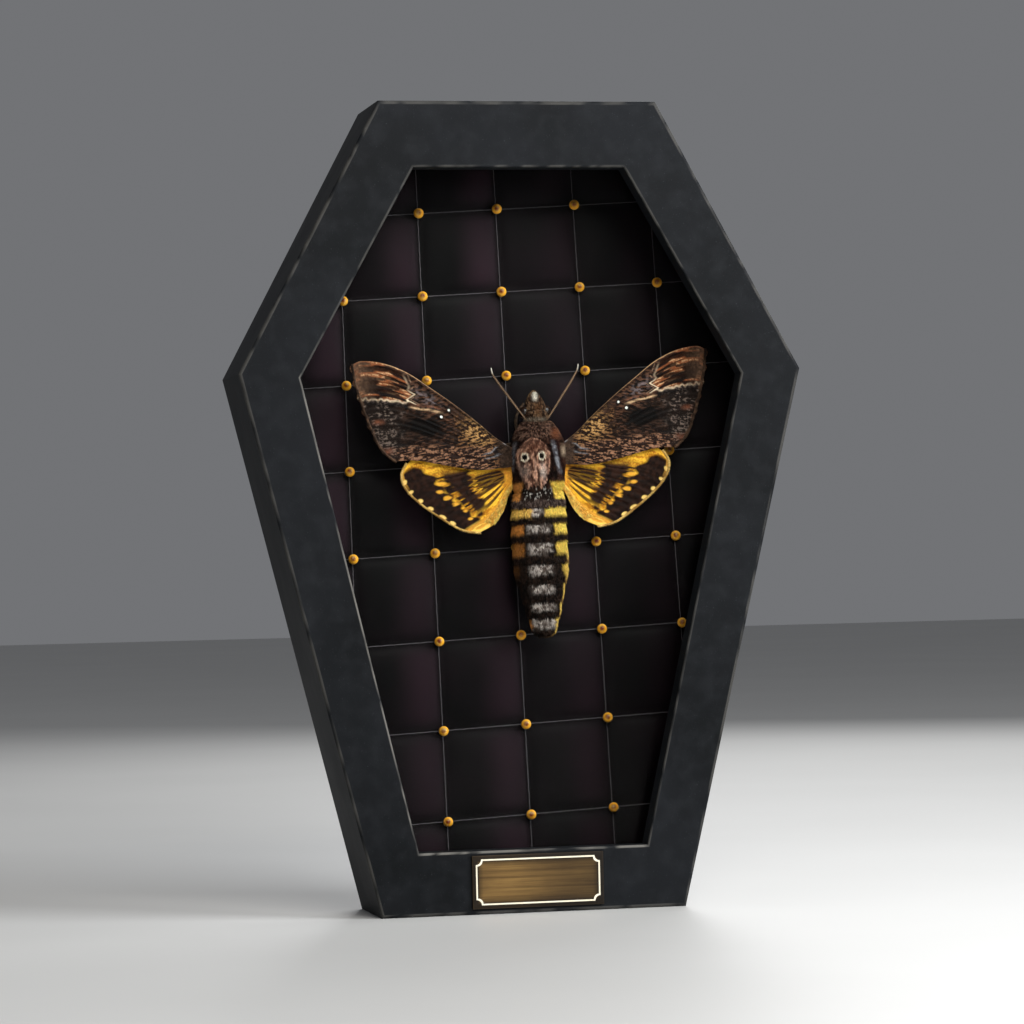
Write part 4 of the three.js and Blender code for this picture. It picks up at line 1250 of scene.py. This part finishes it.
def build_eyes(material):
    """Round dark eyes with fine facets, set in the coat."""
    ring, column = np.meshgrid(np.arange(EYE_RINGS + 1), np.arange(EYE_SIDES), indexing="ij")
    facet = FACET_HEIGHT * np.sin(ring * math.pi * 0.999) * np.cos(column * math.pi)
    spots = ball(math.pi * ring / EYE_RINGS, 2 * math.pi * column / EYE_SIDES)
    offsets = (EYE_RADIUS * (EYE_SHARE + facet)[..., None] * spots).reshape(-1, 3)
    for hand, side in HANDS:
        points = moth_to_world(eye_middle(side) + offsets)
        piece = new_object("moth_eye_" + hand, points, ring_faces(EYE_RINGS + 1, EYE_SIDES), material)
        place(piece, ["eye_" + hand])


# Feelers

ANTENNA_ROUTE = (
    (2.2, -1.6, 8.6), (4.3, -2, 11.5), (8.1, -2.4, 16.9),
    (11.8, -2.6, 22.3), (13.1, -2.6, 24.6), (13.4, -2.8, 26.2),
)
ANTENNA_RINGS = 190
ANTENNA_SIDES = 12
ANTENNA_RADII = ((0, 0.26), (0.15, 0.3), (0.7, 0.4), (0.9, 0.28), (1, 0.12))
ANTENNA_LIGHT = np.array((-0.9, -0.45, 0.1))


def smooth_route(points, count):
    """Evenly spread points on a smooth curve through the given ones."""
    points = np.asarray(points, float)
    steps = np.concatenate([[0], np.cumsum(np.linalg.norm(np.diff(points, axis=0), axis=1))])
    fine = np.linspace(0, steps[-1], count)
    return np.stack([curve_table(steps, points[:, k], fine) for k in range(3)], -1)


def build_antennae(material):
    """Ringed feelers, thickest past the middle, with painted light on the side turned left and forward and a
    fine pale tip.
    """
    number = np.arange(ANTENNA_RINGS)
    share = np.linspace(0, 1, ANTENNA_RINGS)
    radius = curve_table(*zip(*ANTENNA_RADII), share) * (1 - 0.16 * (number % 4 == 0))
    for hand, side in HANDS:
        route = smooth_route(ANTENNA_ROUTE, ANTENNA_RINGS)
        route[:, 0] = route[:, 0] * side + axis_at(route[:, 2])
        vertices, faces = tube(route, radius, ANTENNA_SIDES)
        spread = vertices - np.repeat(route, ANTENNA_SIDES, 0)
        light = smooth(-0.1, 0.7, unit(spread) @ unit(ANTENNA_LIGHT))
        light = light * (0.45 + 0.55 * np.repeat(number % 4 > 1, ANTENNA_SIDES))
        colour = shades((36, 24, 18), (150, 120, 96), light)
        colour = paint(colour, (232, 222, 208), np.repeat(smooth(0.88, 1.0, share), ANTENNA_SIDES))
        piece = new_object("moth_antenna_" + hand, moth_to_world(vertices), faces, material)
        set_colour(piece, "pattern", colour)
        place(piece, ["antenna_" + hand])


# Wings

FOREWING = SimpleNamespace(
    costa=(
        (6.5, 1.6), (12.3, 5.4), (18, 10.6), (24.7, 16.1), (31.6, 21.3),
        (38.2, 26), (45, 29), (51.5, 30), (54.8, 28.8),
    ),
    outer=((54.8, 28.8), (54.1, 23.5), (52.2, 16), (50, 9.5), (47.2, 3.4), (43.2, -0.2)),
    hind=((6.5, -3.4), (16.5, -4.2), (25, -2.9), (36.3, -0.4), (43.2, -0.2)),
    veins=(0.03, 0.17, 0.31, 0.45, 0.59, 0.73, 0.88),
    y=-1.3,
    grid=(270, 180),
    tooth=0.95,
)
HINDWING = SimpleNamespace(
    costa=((6.5, -1.6), (16, 0.8), (27, 1.9), (35.5, 1.2), (39.6, -1.4)),
    outer=(
        (39.6, -1.4), (41.3, -4.6), (40.6, -8.2), (36.7, -12.8), (29.3, -18.4), (23.4, -21.8), (18.2, -22.7),
    ),
    hind=((6.9, -8.6), (8.6, -11.6), (10.6, -16.4), (13.8, -20.5), (18.2, -22.7)),
    veins=(0.1, 0.28, 0.45, 0.62, 0.8),
    y=0.3,
    grid=(190, 150),
    tooth=0.45,
)
WING_HALF_THICKNESS = 0.2
VEIN_RIDGE = 0.16
VEIN_HALF_WIDTH = 0.012
TOOTH_HALF_WIDTH = 0.035
WING_ARCH = 1.1
WING_ROOT_X = 6.5
WING_TIP_X = 55
PLEATS = 14
PLEAT_HEIGHT = 0.06


def edge_curve(points):
    """A curve through the points, that gives the place at each share of its length."""
    points = np.asarray(points, float)
    padded = np.concatenate([points[:1], points, points[-1:]])
    t = np.linspace(0, 1, 40, endpoint=False)[:, None]
    pieces = []
    for i in range(len(points) - 1):
        a, b = points[i], points[i + 1]
        leave, arrive = (b - padded[i]) / 2, (padded[i + 3] - a) / 2
        pieces.append(lerp(a, b, smooth(0, 1, t)) + t * (1 - t) ** 2 * leave + t * t * (t - 1) * arrive)
    fine = np.concatenate(pieces + [points[-1:]])
    length = np.concatenate([[0], np.cumsum(np.linalg.norm(np.diff(fine, axis=0), axis=1))])
    return lambda share: np.stack([np.interp(share * length[-1], length, fine[:, k]) for k in (0, 1)], -1)


def wing_place(wing, u, v):
    """The (x, z) place on a wing, u from root to margin and v from front edge to rear edge."""
    costa, outer, hind = (edge_curve(edge) for edge in (wing.costa, wing.outer, wing.hind))
    uu, vv = u[..., None], v[..., None]
    (root_front, apex), (root_rear, corner) = (np.array(edge)[[0, -1]] for edge in (wing.costa, wing.hind))
    across = lerp(costa(u), hind(u), vv)
    along = lerp(lerp(root_front, root_rear, vv), outer(v), uu)
    return across + along - lerp(lerp(root_front, apex, uu), lerp(root_rear, corner, uu), vv)


def near_veins(wing, v, half_width):
    """1 on each vein, falling off to both sides of it."""
    return np.max([np.exp(-(((v - vein) / half_width) ** 2)) for vein in wing.veins], axis=0)


def wing_lie(wing, x):
    reach = np.clip((x - WING_ROOT_X) / (WING_TIP_X - WING_ROOT_X), 0, 1)
    return wing.y - WING_ARCH * np.sin(math.pi * reach)


def wing_outline(wing, u, v):
    """The (x, z) places on a wing with its scalloped, ragged margin."""
    flat = wing_place(wing, u, v)
    outward = flat - wing_place(wing, np.clip(u - 0.03, 0, 1), v)
    outward /= np.maximum(np.linalg.norm(outward, axis=-1, keepdims=True), 1e-6)
    ragged = 0.25 * (noise(v * 90, u * 0, 17) - 0.5)
    tooth = wing.tooth * (near_veins(wing, v, TOOTH_HALF_WIDTH) - 0.45) + ragged
    return flat + outward * (tooth * smooth(0.94, 1.0, u))[..., None]


def build_wing(name, hand, side, wing, pattern, material):
    """A thin wing with raised veins, pleats between them and a scalloped margin."""
    u, v = np.meshgrid(*(np.linspace(0, 1, n) for n in wing.grid), indexing="ij")
    x, z = np.moveaxis(wing_outline(wing, u, v), -1, 0)
    crest = near_veins(wing, v, VEIN_HALF_WIDTH) * np.minimum(1, 6 * u) * (1 - 0.6 * smooth(0.7, 1, u))
    lie = wing_lie(wing, x) + PLEAT_HEIGHT * np.cos(2 * math.pi * v * PLEATS) * smooth(0.1, 0.4, u)
    thin = WING_HALF_THICKNESS * (1 - 0.55 * smooth(0.85, 1, u))
    faces_y = (lie - thin - VEIN_RIDGE * crest, lie + thin)
    points = np.concatenate([np.stack([x * side, y, z], -1).reshape(-1, 3) for y in faces_y])
    rows, columns = wing.grid
    count = rows * columns
    index = np.arange(count).reshape(rows, columns)
    quads = grid_quads(rows, columns)
    border = np.concatenate([index[0, :-1], index[:-1, -1], index[-1, :0:-1], index[:0:-1, 0]])
    following = np.roll(border, -1)
    walls = np.stack([following, border, border + count, following + count], -1)
    faces = [quads, quads[:, ::-1] + count, walls]
    if side < 0:
        faces = [f[:, ::-1] for f in faces]
    piece = array_object("moth_%s_%s" % (name, hand), moth_to_world(points), faces, material)
    colours = [pattern(u, v, x, z, under).reshape(-1, 3) for under in (False, True)]
    set_colour(piece, "pattern", np.concatenate(colours))
    place(piece, [name + "_" + hand])


def forewing_outer(w, colour):
    """Outer third: near black with ash grey flecks and two rusty places at the margin."""
    ash = smooth(0.5, 0.66, 0.6 * w.fleck + 0.4 * w.ripple)
    grey = shades((30, 22, 19), (112, 96, 88), ash * smooth(0.2, 0.6, noise(w.x * 0.6, w.z * 0.6, 36)))
    colour = paint(colour, grey, smooth(38, 42, w.x + 3 * w.wander) * 0.95)
    rust = hump(47.5, 2.6, w.x) * hump(11.6, 1.2, w.z) + hump(44.8, 2.2, w.x) * hump(2.9, 1.6, w.z)
    return paint(colour, shades((142, 86, 62), (70, 40, 30), w.fleck), np.clip(rust, 0, 1) * 0.85)


def forewing_base(w, colour):
    """The speckled ochre base, brightest halfway along it, and a dark front edge."""
    light = smooth(0.47, 0.62, 0.4 * w.fleck + 0.25 * w.mottle + 0.35 * w.ripple)
    bright = hump(18.0, 7.0, w.x) * hump(7.5, 6.5, w.z - 0.35 * (w.x - 18))
    ochre = shades((40, 26, 19), (182, 136, 86), light)
    dull = shades((28, 18, 14), (110, 76, 52), light)
    base = 1 - smooth(22.0, 27.5, w.x + 7 * w.wander + 0.25 * (w.z - 6))
    colour = paint(colour, shades(dull, ochre, np.clip(bright * 1.3, 0, 1)), base)
    front = hump(0.0, 0.16, w.v) * window(9, 13, 22, 27, w.x)
    return paint(colour, (30, 22, 19), front * 0.75 * smooth(0.35, 0.55, w.mottle))


def forewing_middle(w, colour):
    """Middle: black, with a grey sheen in front and wavy cross lines."""
    middle = smooth(24.0, 27.0, w.x + 4 * w.wander) * smooth(40.0, 37.5, w.x + 2 * w.wander)
    colour = paint(colour, blend((24, 15, 12), (88, 60, 46), 0.54, 0.7, w.ripple), middle * 0.85)
    sheen = hump(33, 6.0, w.x) * hump(18.2, 3.2, w.z - 0.55 * (w.x - 33))
    sheen = sheen * smooth(0.4, 0.66, noise(w.x * 1.1, w.z * 2.2, 43))
    colour = paint(colour, (128, 114, 116), sheen * 0.6)
    patch = hump(33.5, 8.5, w.x) * 2.0 * hump(9.4, 4.6, w.z - 0.12 * (w.x - 34) + 1.5 * w.wander)
    return paint(colour, (11, 6, 4), np.clip(patch, 0, 1) * 0.97)


def forewing_rear(w, colour):
    """Rear edge: pinkish brown speckle under a dark wavy line."""
    lip = w.z - 3.4 - 0.05 * (w.x - 30) - 1.8 * w.wander
    colour = paint(colour, (24, 17, 16), hump(1.0, 0.9, lip) * window(16, 20, 40, 45, w.x) * 0.7)
    pink = blend((38, 25, 21), (150, 108, 84), 0.46, 0.68, 0.5 * w.fleck + 0.5 * w.ripple)
    return paint(colour, pink, smooth(0.6, -0.8, lip) * window(12, 17, 41, 45, w.x) * 0.9)


def forewing_stripe(w, colour):
    """The slanting stripe from the tip's border to the white dot."""
    rise = w.z - (12.7 + 0.24 * (w.x - 27.1)) - 0.9 * w.wander
    along = window(27.5, 29.5, 36.8, 38.6, w.x)
    colour = paint(colour, (204, 164, 126), hump(0.35, 0.6, rise) * along * (0.35 + 0.65 * w.broken))
    return paint(colour, (126, 80, 58), hump(1.5, 0.6, rise) * along * w.broken * 0.6)


CREAM = (236, 208, 176)


def forewing_tip(w, colour):
    """The tip: rust and cream streaks, closed off by a jagged cream line."""
    x, z = w.x, w.z
    over = z - (16.9 + 0.09 * (x - 36.5) + 1.1 * (noise(x * 1.1, z * 0, 48) - 0.5))
    saw = np.abs(((z - 16.4) / 3.0) % 1 - 0.5) * 2
    start = 38.4 - 2.6 * saw * smooth(23, 19, z) - 0.8 * smooth(19, 23, z) + 0.42 * np.maximum(z - 22, 0)
    past = x - start
    band, line = noise(w.u * 12, w.v * 55, 31), noise(w.u * 16 + 3, w.v * 95, 32)
    streaks = blend((34, 20, 15), (134, 76, 46), 0.34, 0.66, band)
    chip = smooth(0.35, 0.6, band) * smooth(0.3, 0.6, w.fleck)
    streaks = paint(streaks, (208, 160, 120), smooth(0.56, 0.7, line) * chip)
    streaks = paint(streaks, (24, 15, 12), smooth(0.52, 0.66, noise(w.u * 14 + 7, w.v * 44, 47)) * 0.9)
    streaks = paint(streaks, shades((60, 42, 34), (140, 108, 86), w.fleck), smooth(46, 54, x) * 0.6)
    colour = paint(colour, streaks, smooth(0, 0.9, past + 0.8 * w.wander) * smooth(0, 0.5, over))
    above = smooth(-0.8, 0, over)
    zigzag = hump(0.3, 0.55, past) * above * (0.25 * smooth(26, 24, z) + 0.75 * smooth(21.5, 19.0, z))
    colour = paint(colour, CREAM, zigzag)
    echo = hump(-0.9, 0.35, past) * above * smooth(27, 23, z)
    colour = paint(colour, (176, 140, 116), echo * 0.6 * w.broken)
    ledge = hump(0.35, 0.6, over) * smooth(0, 0.8, past) * (1 - 0.6 * smooth(43, 51, x))
    colour = paint(colour, CREAM, ledge * (0.3 + 0.5 * smooth(0.3, 0.6, line)))
    return paint(colour, (18, 13, 12), hump(-0.9, 0.8, over) * smooth(0.5, 2, past) * 0.8)


# How far down each dash at the forewing's root lies, and its grey
ROOT_DASHES = ((0.0, 136), (0.9, 24), (1.8, 124), (2.7, 20))
WHITE_DOTS = ((26.1, 14.2, 0.42), (28.5, 12.3, 0.48))


def forewing_root(w, colour):
    """Slate and black dashes that fan out from the root."""
    colour = paint(colour, (48, 38, 35), smooth(13.5, 9.5, w.x) * smooth(8, 6, w.z) * 0.7)
    for shift, grey in ROOT_DASHES:
        off = w.z - (2.6 - shift) + 0.36 * (w.x - 10.5) + 1.2 * w.wander
        dash = hump(0.0, 0.55, off) * window(8.2, 9.5, 14.5, 17, w.x)
        colour = paint(colour, (grey, grey - 4, grey), dash * (0.35 + 0.4 * smooth(0.3, 0.6, w.fleck)))
    return colour


def forewing_trim(w, colour):
    """White dots, the pale front edge and the fringe."""
    for dot_x, dot_z, radius in WHITE_DOTS:
        far = np.hypot(w.x - dot_x, w.z - dot_z)
        colour = paint(colour, (12, 9, 8), 0.8 * (1 - smooth(radius, radius * 2.4, far)))
        colour = paint(colour, (255, 250, 240), 1 - smooth(radius * 0.6, radius, far))
    edge = (1 - smooth(0.004, 0.011, w.v)) * smooth(48, 43, w.x)
    colour = paint(colour, (206, 160, 120), edge * (0.25 + 0.6 * smooth(20, 38, w.x)))
    fringe = smooth(0.98, 0.99, w.u) * smooth(0.35, 0.65, noise(w.v * 40, w.u, 49))
    return paint(colour, (96, 68, 52), fringe * 0.6)


def forewing_colour(u, v, x, z, under):
    """Marbled forewing: ochre base, black middle, a streaked tip and a pinkish rear edge."""
    w = SimpleNamespace(u=u, v=v, x=x, z=z)
    w.wander = noise(x * 0.5, z * 0.5, 91) - 0.5
    w.mottle = cloud(x * 0.9, z * 0.9, 33)
    w.fleck = 0.5 * noise(x * 1.7, z * 1.7, 37) + 0.5 * noise(x * 3.4 + 5, z * 3.4, 39)
    w.ripple = noise(x * 0.9, z * 3.6 + 0.8 * x, 35)
    w.broken = smooth(0.3, 0.55, noise(x * 1.3, z * 2.5, 45))
    if under:
        colour = blend((176, 130, 72), (120, 82, 46), 0.35, 0.65, w.mottle)
        band = hump(0.66, 0.07, u + 0.05 * w.wander) + 0.7 * smooth(0.86, 0.96, u)
        return paint(colour, (62, 42, 30), band)
    colour = blend((62, 44, 35), (24, 17, 15), 0.4, 0.58, w.mottle)
    for layer in (
        forewing_outer, forewing_base, forewing_middle, forewing_rear, forewing_stripe, forewing_tip,
        forewing_root, forewing_trim,
    ):
        colour = layer(w, colour)
    return colour


# Places on the hindwing as u and v, and along its margin as v and reach
YELLOW_SPOTS = ((0.74, 0.33), (0.79, 0.40), (0.785, 0.49), (0.77, 0.58), (0.765, 0.69), (0.80, 0.79))
EDGE_SPOTS = ((0.18, 0.02), (0.28, 0.016), (0.39, 0.022), (0.50, 0.026), (0.63, 0.035), (0.73, 0.03))


def hindwing_bands(w, colour, dark):
    """The middle band, its outer part streaked with gold, and the border, with gold spots in it."""
    u, v, wander = w.u, w.v, w.wander
    inner = 0.485 - 0.05 * hump(0.3, 0.2, v) + 0.06 * smooth(0.4, 0.7, v)
    band = smooth(inner - 0.035, inner + 0.02, u + 0.09 * w.fray) * smooth(0.78, 0.72, u + 0.05 * wander)
    band = band * smooth(0.16, 0.27, v + 0.04 * wander) * smooth(0.82, 0.74, v + 0.03 * wander)
    through = smooth(0.5, 0.7, w.streak) * smooth(0.64, 0.69, u)
    colour = paint(colour, dark, band * (1 - 0.75 * through))
    start = 0.74 - 0.02 * np.sin(v * 55) + 0.12 * smooth(0.24, 0.1, v) + 0.02 * wander
    ends = smooth(0.07, 0.13, v + 0.02 * wander) * smooth(0.9, 0.84, v)
    colour = paint(colour, dark, smooth(start - 0.02, start + 0.02, u) * ends)
    for spot_u, spot_v in YELLOW_SPOTS:
        reach = 0.035 + 0.02 * hash01(int(spot_v * 100), 3, 5)
        far = np.hypot((u - spot_u) / reach, (v - spot_v) / 0.026)
        colour = paint(colour, (232, 164, 58), 1 - smooth(0.6, 1.15, far + 0.8 * wander + 0.5 * w.fray))
    return colour


def hindwing_margin(w, colour):
    """Pale spots along the margin itself."""
    colour = paint(colour, (206, 148, 66), smooth(0.962, 0.975, w.u) * smooth(0.3, 0.15, w.v) * 0.8)
    for spot_v, reach in EDGE_SPOTS:
        far = np.hypot((w.u - 0.978) / 0.026, (w.v - spot_v) / reach)
        colour = paint(colour, (240, 196, 112), 1 - smooth(0.7, 1.1, far))
    return colour


def hindwing_root(w, colour):
    """A dark root patch, streaks and a dark fork towards the inner corner, and the tan corner."""
    u, v, ragged = w.u, w.v, w.fray + 0.5
    patch = smooth(0.1, 0.17, u) * smooth(0.48, 0.38, u + 0.14 * w.fray) * hump(0.49, 0.2, v) * 3.0
    colour = paint(colour, (40, 24, 16), np.clip(patch, 0, 1) * (0.85 + 0.15 * smooth(0.3, 0.6, ragged)))
    lines = smooth(0.42, 0.54, noise(u * 2.5 + 2, v * 24, 109))
    fan = smooth(0.1, 0.18, u) * smooth(0.66, 0.5, u - 0.1 * (v - 0.7)) * window(0.55, 0.62, 0.8, 0.88, v)
    colour = paint(colour, (50, 31, 19), fan * lines * 0.9)
    fork = hump(0.62, 0.10, u) * hump(0.74, 0.07, v) + hump(0.68, 0.08, u) * hump(0.80, 0.05, v)
    fork = np.clip(fork * 1.4, 0, 1) * (0.5 + 0.5 * smooth(0.35, 0.6, ragged))
    colour = paint(colour, (42, 26, 19), fork)
    tan = blend((255, 206, 98), (214, 146, 56), 0.35, 0.65, w.streak)
    return paint(colour, tan, smooth(0.84, 0.9, v + 0.02 * w.wander) * 0.9)


def hindwing_colour(u, v, x, z, under):
    """Golden hindwing with a broad brown border, a dark middle band and streaked inner corner."""
    w = SimpleNamespace(u=u, v=v)
    w.wander = noise(u * 9, v * 9, 101) - 0.5
    w.fray = noise(u * 6, v * 52, 103) - 0.5
    w.streak = noise(u * 7 + 4, v * 60, 111)
    fine = noise(x * 3.2, z * 3.2, 105)
    gold = blend((250, 186, 58), (176, 110, 30), 0.35, 0.75, 0.6 * w.streak + 0.4 * fine)
    colour = paint(gold, (206, 128, 52), smooth(0.3, 0.05, u) * 0.6)
    if under:
        colour = paint(colour, (196, 148, 76), np.full_like(u, 0.7))
        band = hump(0.62, 0.05, u + 0.03 * w.wander) + 0.8 * hump(0.84, 0.06, u + 0.03 * w.wander)
        return paint(colour, (84, 56, 36), np.clip(band, 0, 1))
    dark = blend((46, 28, 21), (26, 16, 12), 0.3, 0.7, cloud(x * 1.1, z * 1.1, 107))
    return hindwing_root(w, hindwing_margin(w, hindwing_bands(w, colour, dark)))


# Hair on the wings

HAIR_LENGTHS = (0.6, 1.3)
HAIR_WIDTHS = (0.7, 1.3)
HAIR_SHADES = (0.75, 1.25)
HAIR_RISE = 0.3
HAIR_SLOPE = -0.06
FRINGE_U = 0.985


def forewing_root_hair(count):
    u = RNG.uniform(0, 1, count) ** 1.6 * 0.09
    v = RNG.uniform(0.05, 0.98, count)
    return u, v, math.radians(25) * (1 - 1.6 * v) + RNG.normal(0, 0.2, count)


def hindwing_inner_hair(count):
    u = RNG.uniform(0.0, 0.7, count)
    v = 1 - RNG.uniform(0, 1, count) ** 1.3 * 0.11
    return u, v, math.radians(-62) + 0.5 * (u - 0.3) + RNG.normal(0, 0.16, count)


def margin_hair(wing):
    """Where a wing's fringe grows, each hair pointing straight out from the margin."""

    def spread(count):
        v = RNG.uniform(0, 1, count)
        rim_and_shade = np.ones(count)
        step = wing_place(wing, rim_and_shade, np.clip(v + 0.01, 0, 1)) - wing_place(wing, rim_and_shade, np.clip(v - 0.01, 0, 1))
        heading = np.arctan2(step[:, 1], step[:, 0]) + math.pi / 2
        return np.full(count, FRINGE_U), v, heading + RNG.normal(0, 0.18, count)

    return spread


# Name, wing, its slot, number, (u, v, heading) of each hair, length, width, colours and their noise
WING_HAIR = (
    (
        "forewing_root_fur", FOREWING, "forewing_scales", 1100, forewing_root_hair, 1.4, 0.12,
        ((26, 19, 17), (84, 64, 52)), lambda v, x, z: noise(x * 2, z * 2, 3),
    ),
    (
        "forewing_fringe", FOREWING, "forewing_scales", 1800, margin_hair(FOREWING), 0.75, 0.09,
        ((30, 22, 19), (104, 78, 62)), lambda v, x, z: noise(v * 30, v * 3, 5),
    ),
    (
        "hindwing_inner_fur", HINDWING, "hindwing_scales", 900, hindwing_inner_hair, 1.5, 0.11,
        ((236, 160, 62), (255, 212, 112)), lambda v, x, z: noise(x * 2, z, 7),
    ),
    (
        "hindwing_fringe", HINDWING, "hindwing_scales", 1800, margin_hair(HINDWING), 0.7, 0.09,
        ((150, 104, 50), (236, 196, 116)), lambda v, x, z: noise(v * 26, v * 3, 9),
    ),
)


def build_wing_hair(material, hand, side, name, wing, slot, count, spread, length, width, tones, grain):
    """Hair on a wing's root or rim."""
    u, v, heading = spread(count)
    x, z = wing_place(wing, u, v).T
    roots = np.stack([x * side, wing_lie(wing, x) - WING_HALF_THICKNESS / 2, z], -1)
    lies = unit(np.stack([np.cos(heading) * side, np.full(count, HAIR_SLOPE), np.sin(heading)], -1))
    normals = np.tile((0.0, -1.0, 0.0), (count, 1))
    lengths = length * RNG.uniform(*HAIR_LENGTHS, count)
    widths = width * RNG.uniform(*HAIR_WIDTHS, count)
    rises = np.full(count, HAIR_RISE)
    colours = shades(*tones, grain(v, x, z)) * RNG.uniform(*HAIR_SHADES, (count, 1))
    uvs = np.stack([u, v], -1) * 0.9 + 0.05
    name = name + "_" + hand
    piece = tuft_mesh(name, material, roots, normals, lies, lengths, widths, rises, colours, uvs)
    place(piece)


def build_wings(fore_material, hind_material, hair_material):
    """Both wings of each side, with the hair on their roots and rims."""
    for hand, side in HANDS:
        build_wing("forewing", hand, side, FOREWING, forewing_colour, fore_material)
        build_wing("hindwing", hand, side, HINDWING, hindwing_colour, hind_material)
        for hair in WING_HAIR:
            build_wing_hair(hair_material, hand, side, *hair)


def dress(node, material):
    """Gives a part of the solids its own material."""
    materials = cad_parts[node].data.materials
    materials.clear()
    materials.append(material)


# Name, slot, low and high end, number of tufts, length, width and sideways lean of each coat
COATS = (
    ("thorax_coat", "dark_fur", -13.4, NECK_Z, 18000, 1.15, 0.13, 0.1),
    ("head_coat", "dark_fur", NECK_Z, 18.1, 4500, 1.1, 0.12, 0.0),
    ("abdomen_coat", "banded_fur", -54.6, -13.0, 17000, 1.25, 0.15, 0.0),
)

build_camera()
build_stage()
build_case_frame(painted_wood())
build_lining(satin())
build_seams(thread())
build_beads(amber())
plate_brass = brass()
build_plaque(plate_brass, border_enamel())
build_back_screws(plate_brass, chitin("slot_shade", (14, 12, 10), (28, 24, 20), 900, 0.8))
dark_fur = fur("dark_fur")
build_skin(dark_fur)
for coat_name, coat_slot, *coat_form in COATS:
    build_coat(coat_name, dark_fur, coat_slot, *coat_form)
build_eyes(chitin("moth_eye", (26, 16, 12), (50, 34, 26), 1800, 0.32))
build_antennae(fur("antenna"))
build_wings(scales("forewing_scales", 1500, 0.4), scales("hindwing_scales", 1900, 0.2), dark_fur)
leg_shell = chitin("moth_leg", (44, 30, 22), (104, 80, 58), 1500, 0.6)
for hand_name, _ in HANDS:
    for pair in ("front", "middle", "hind"):
        dress("leg_%s_%s" % (pair, hand_name), leg_shell)
dress("glass", glass())
dress("back_board", hardboard())
dress("post", cork())
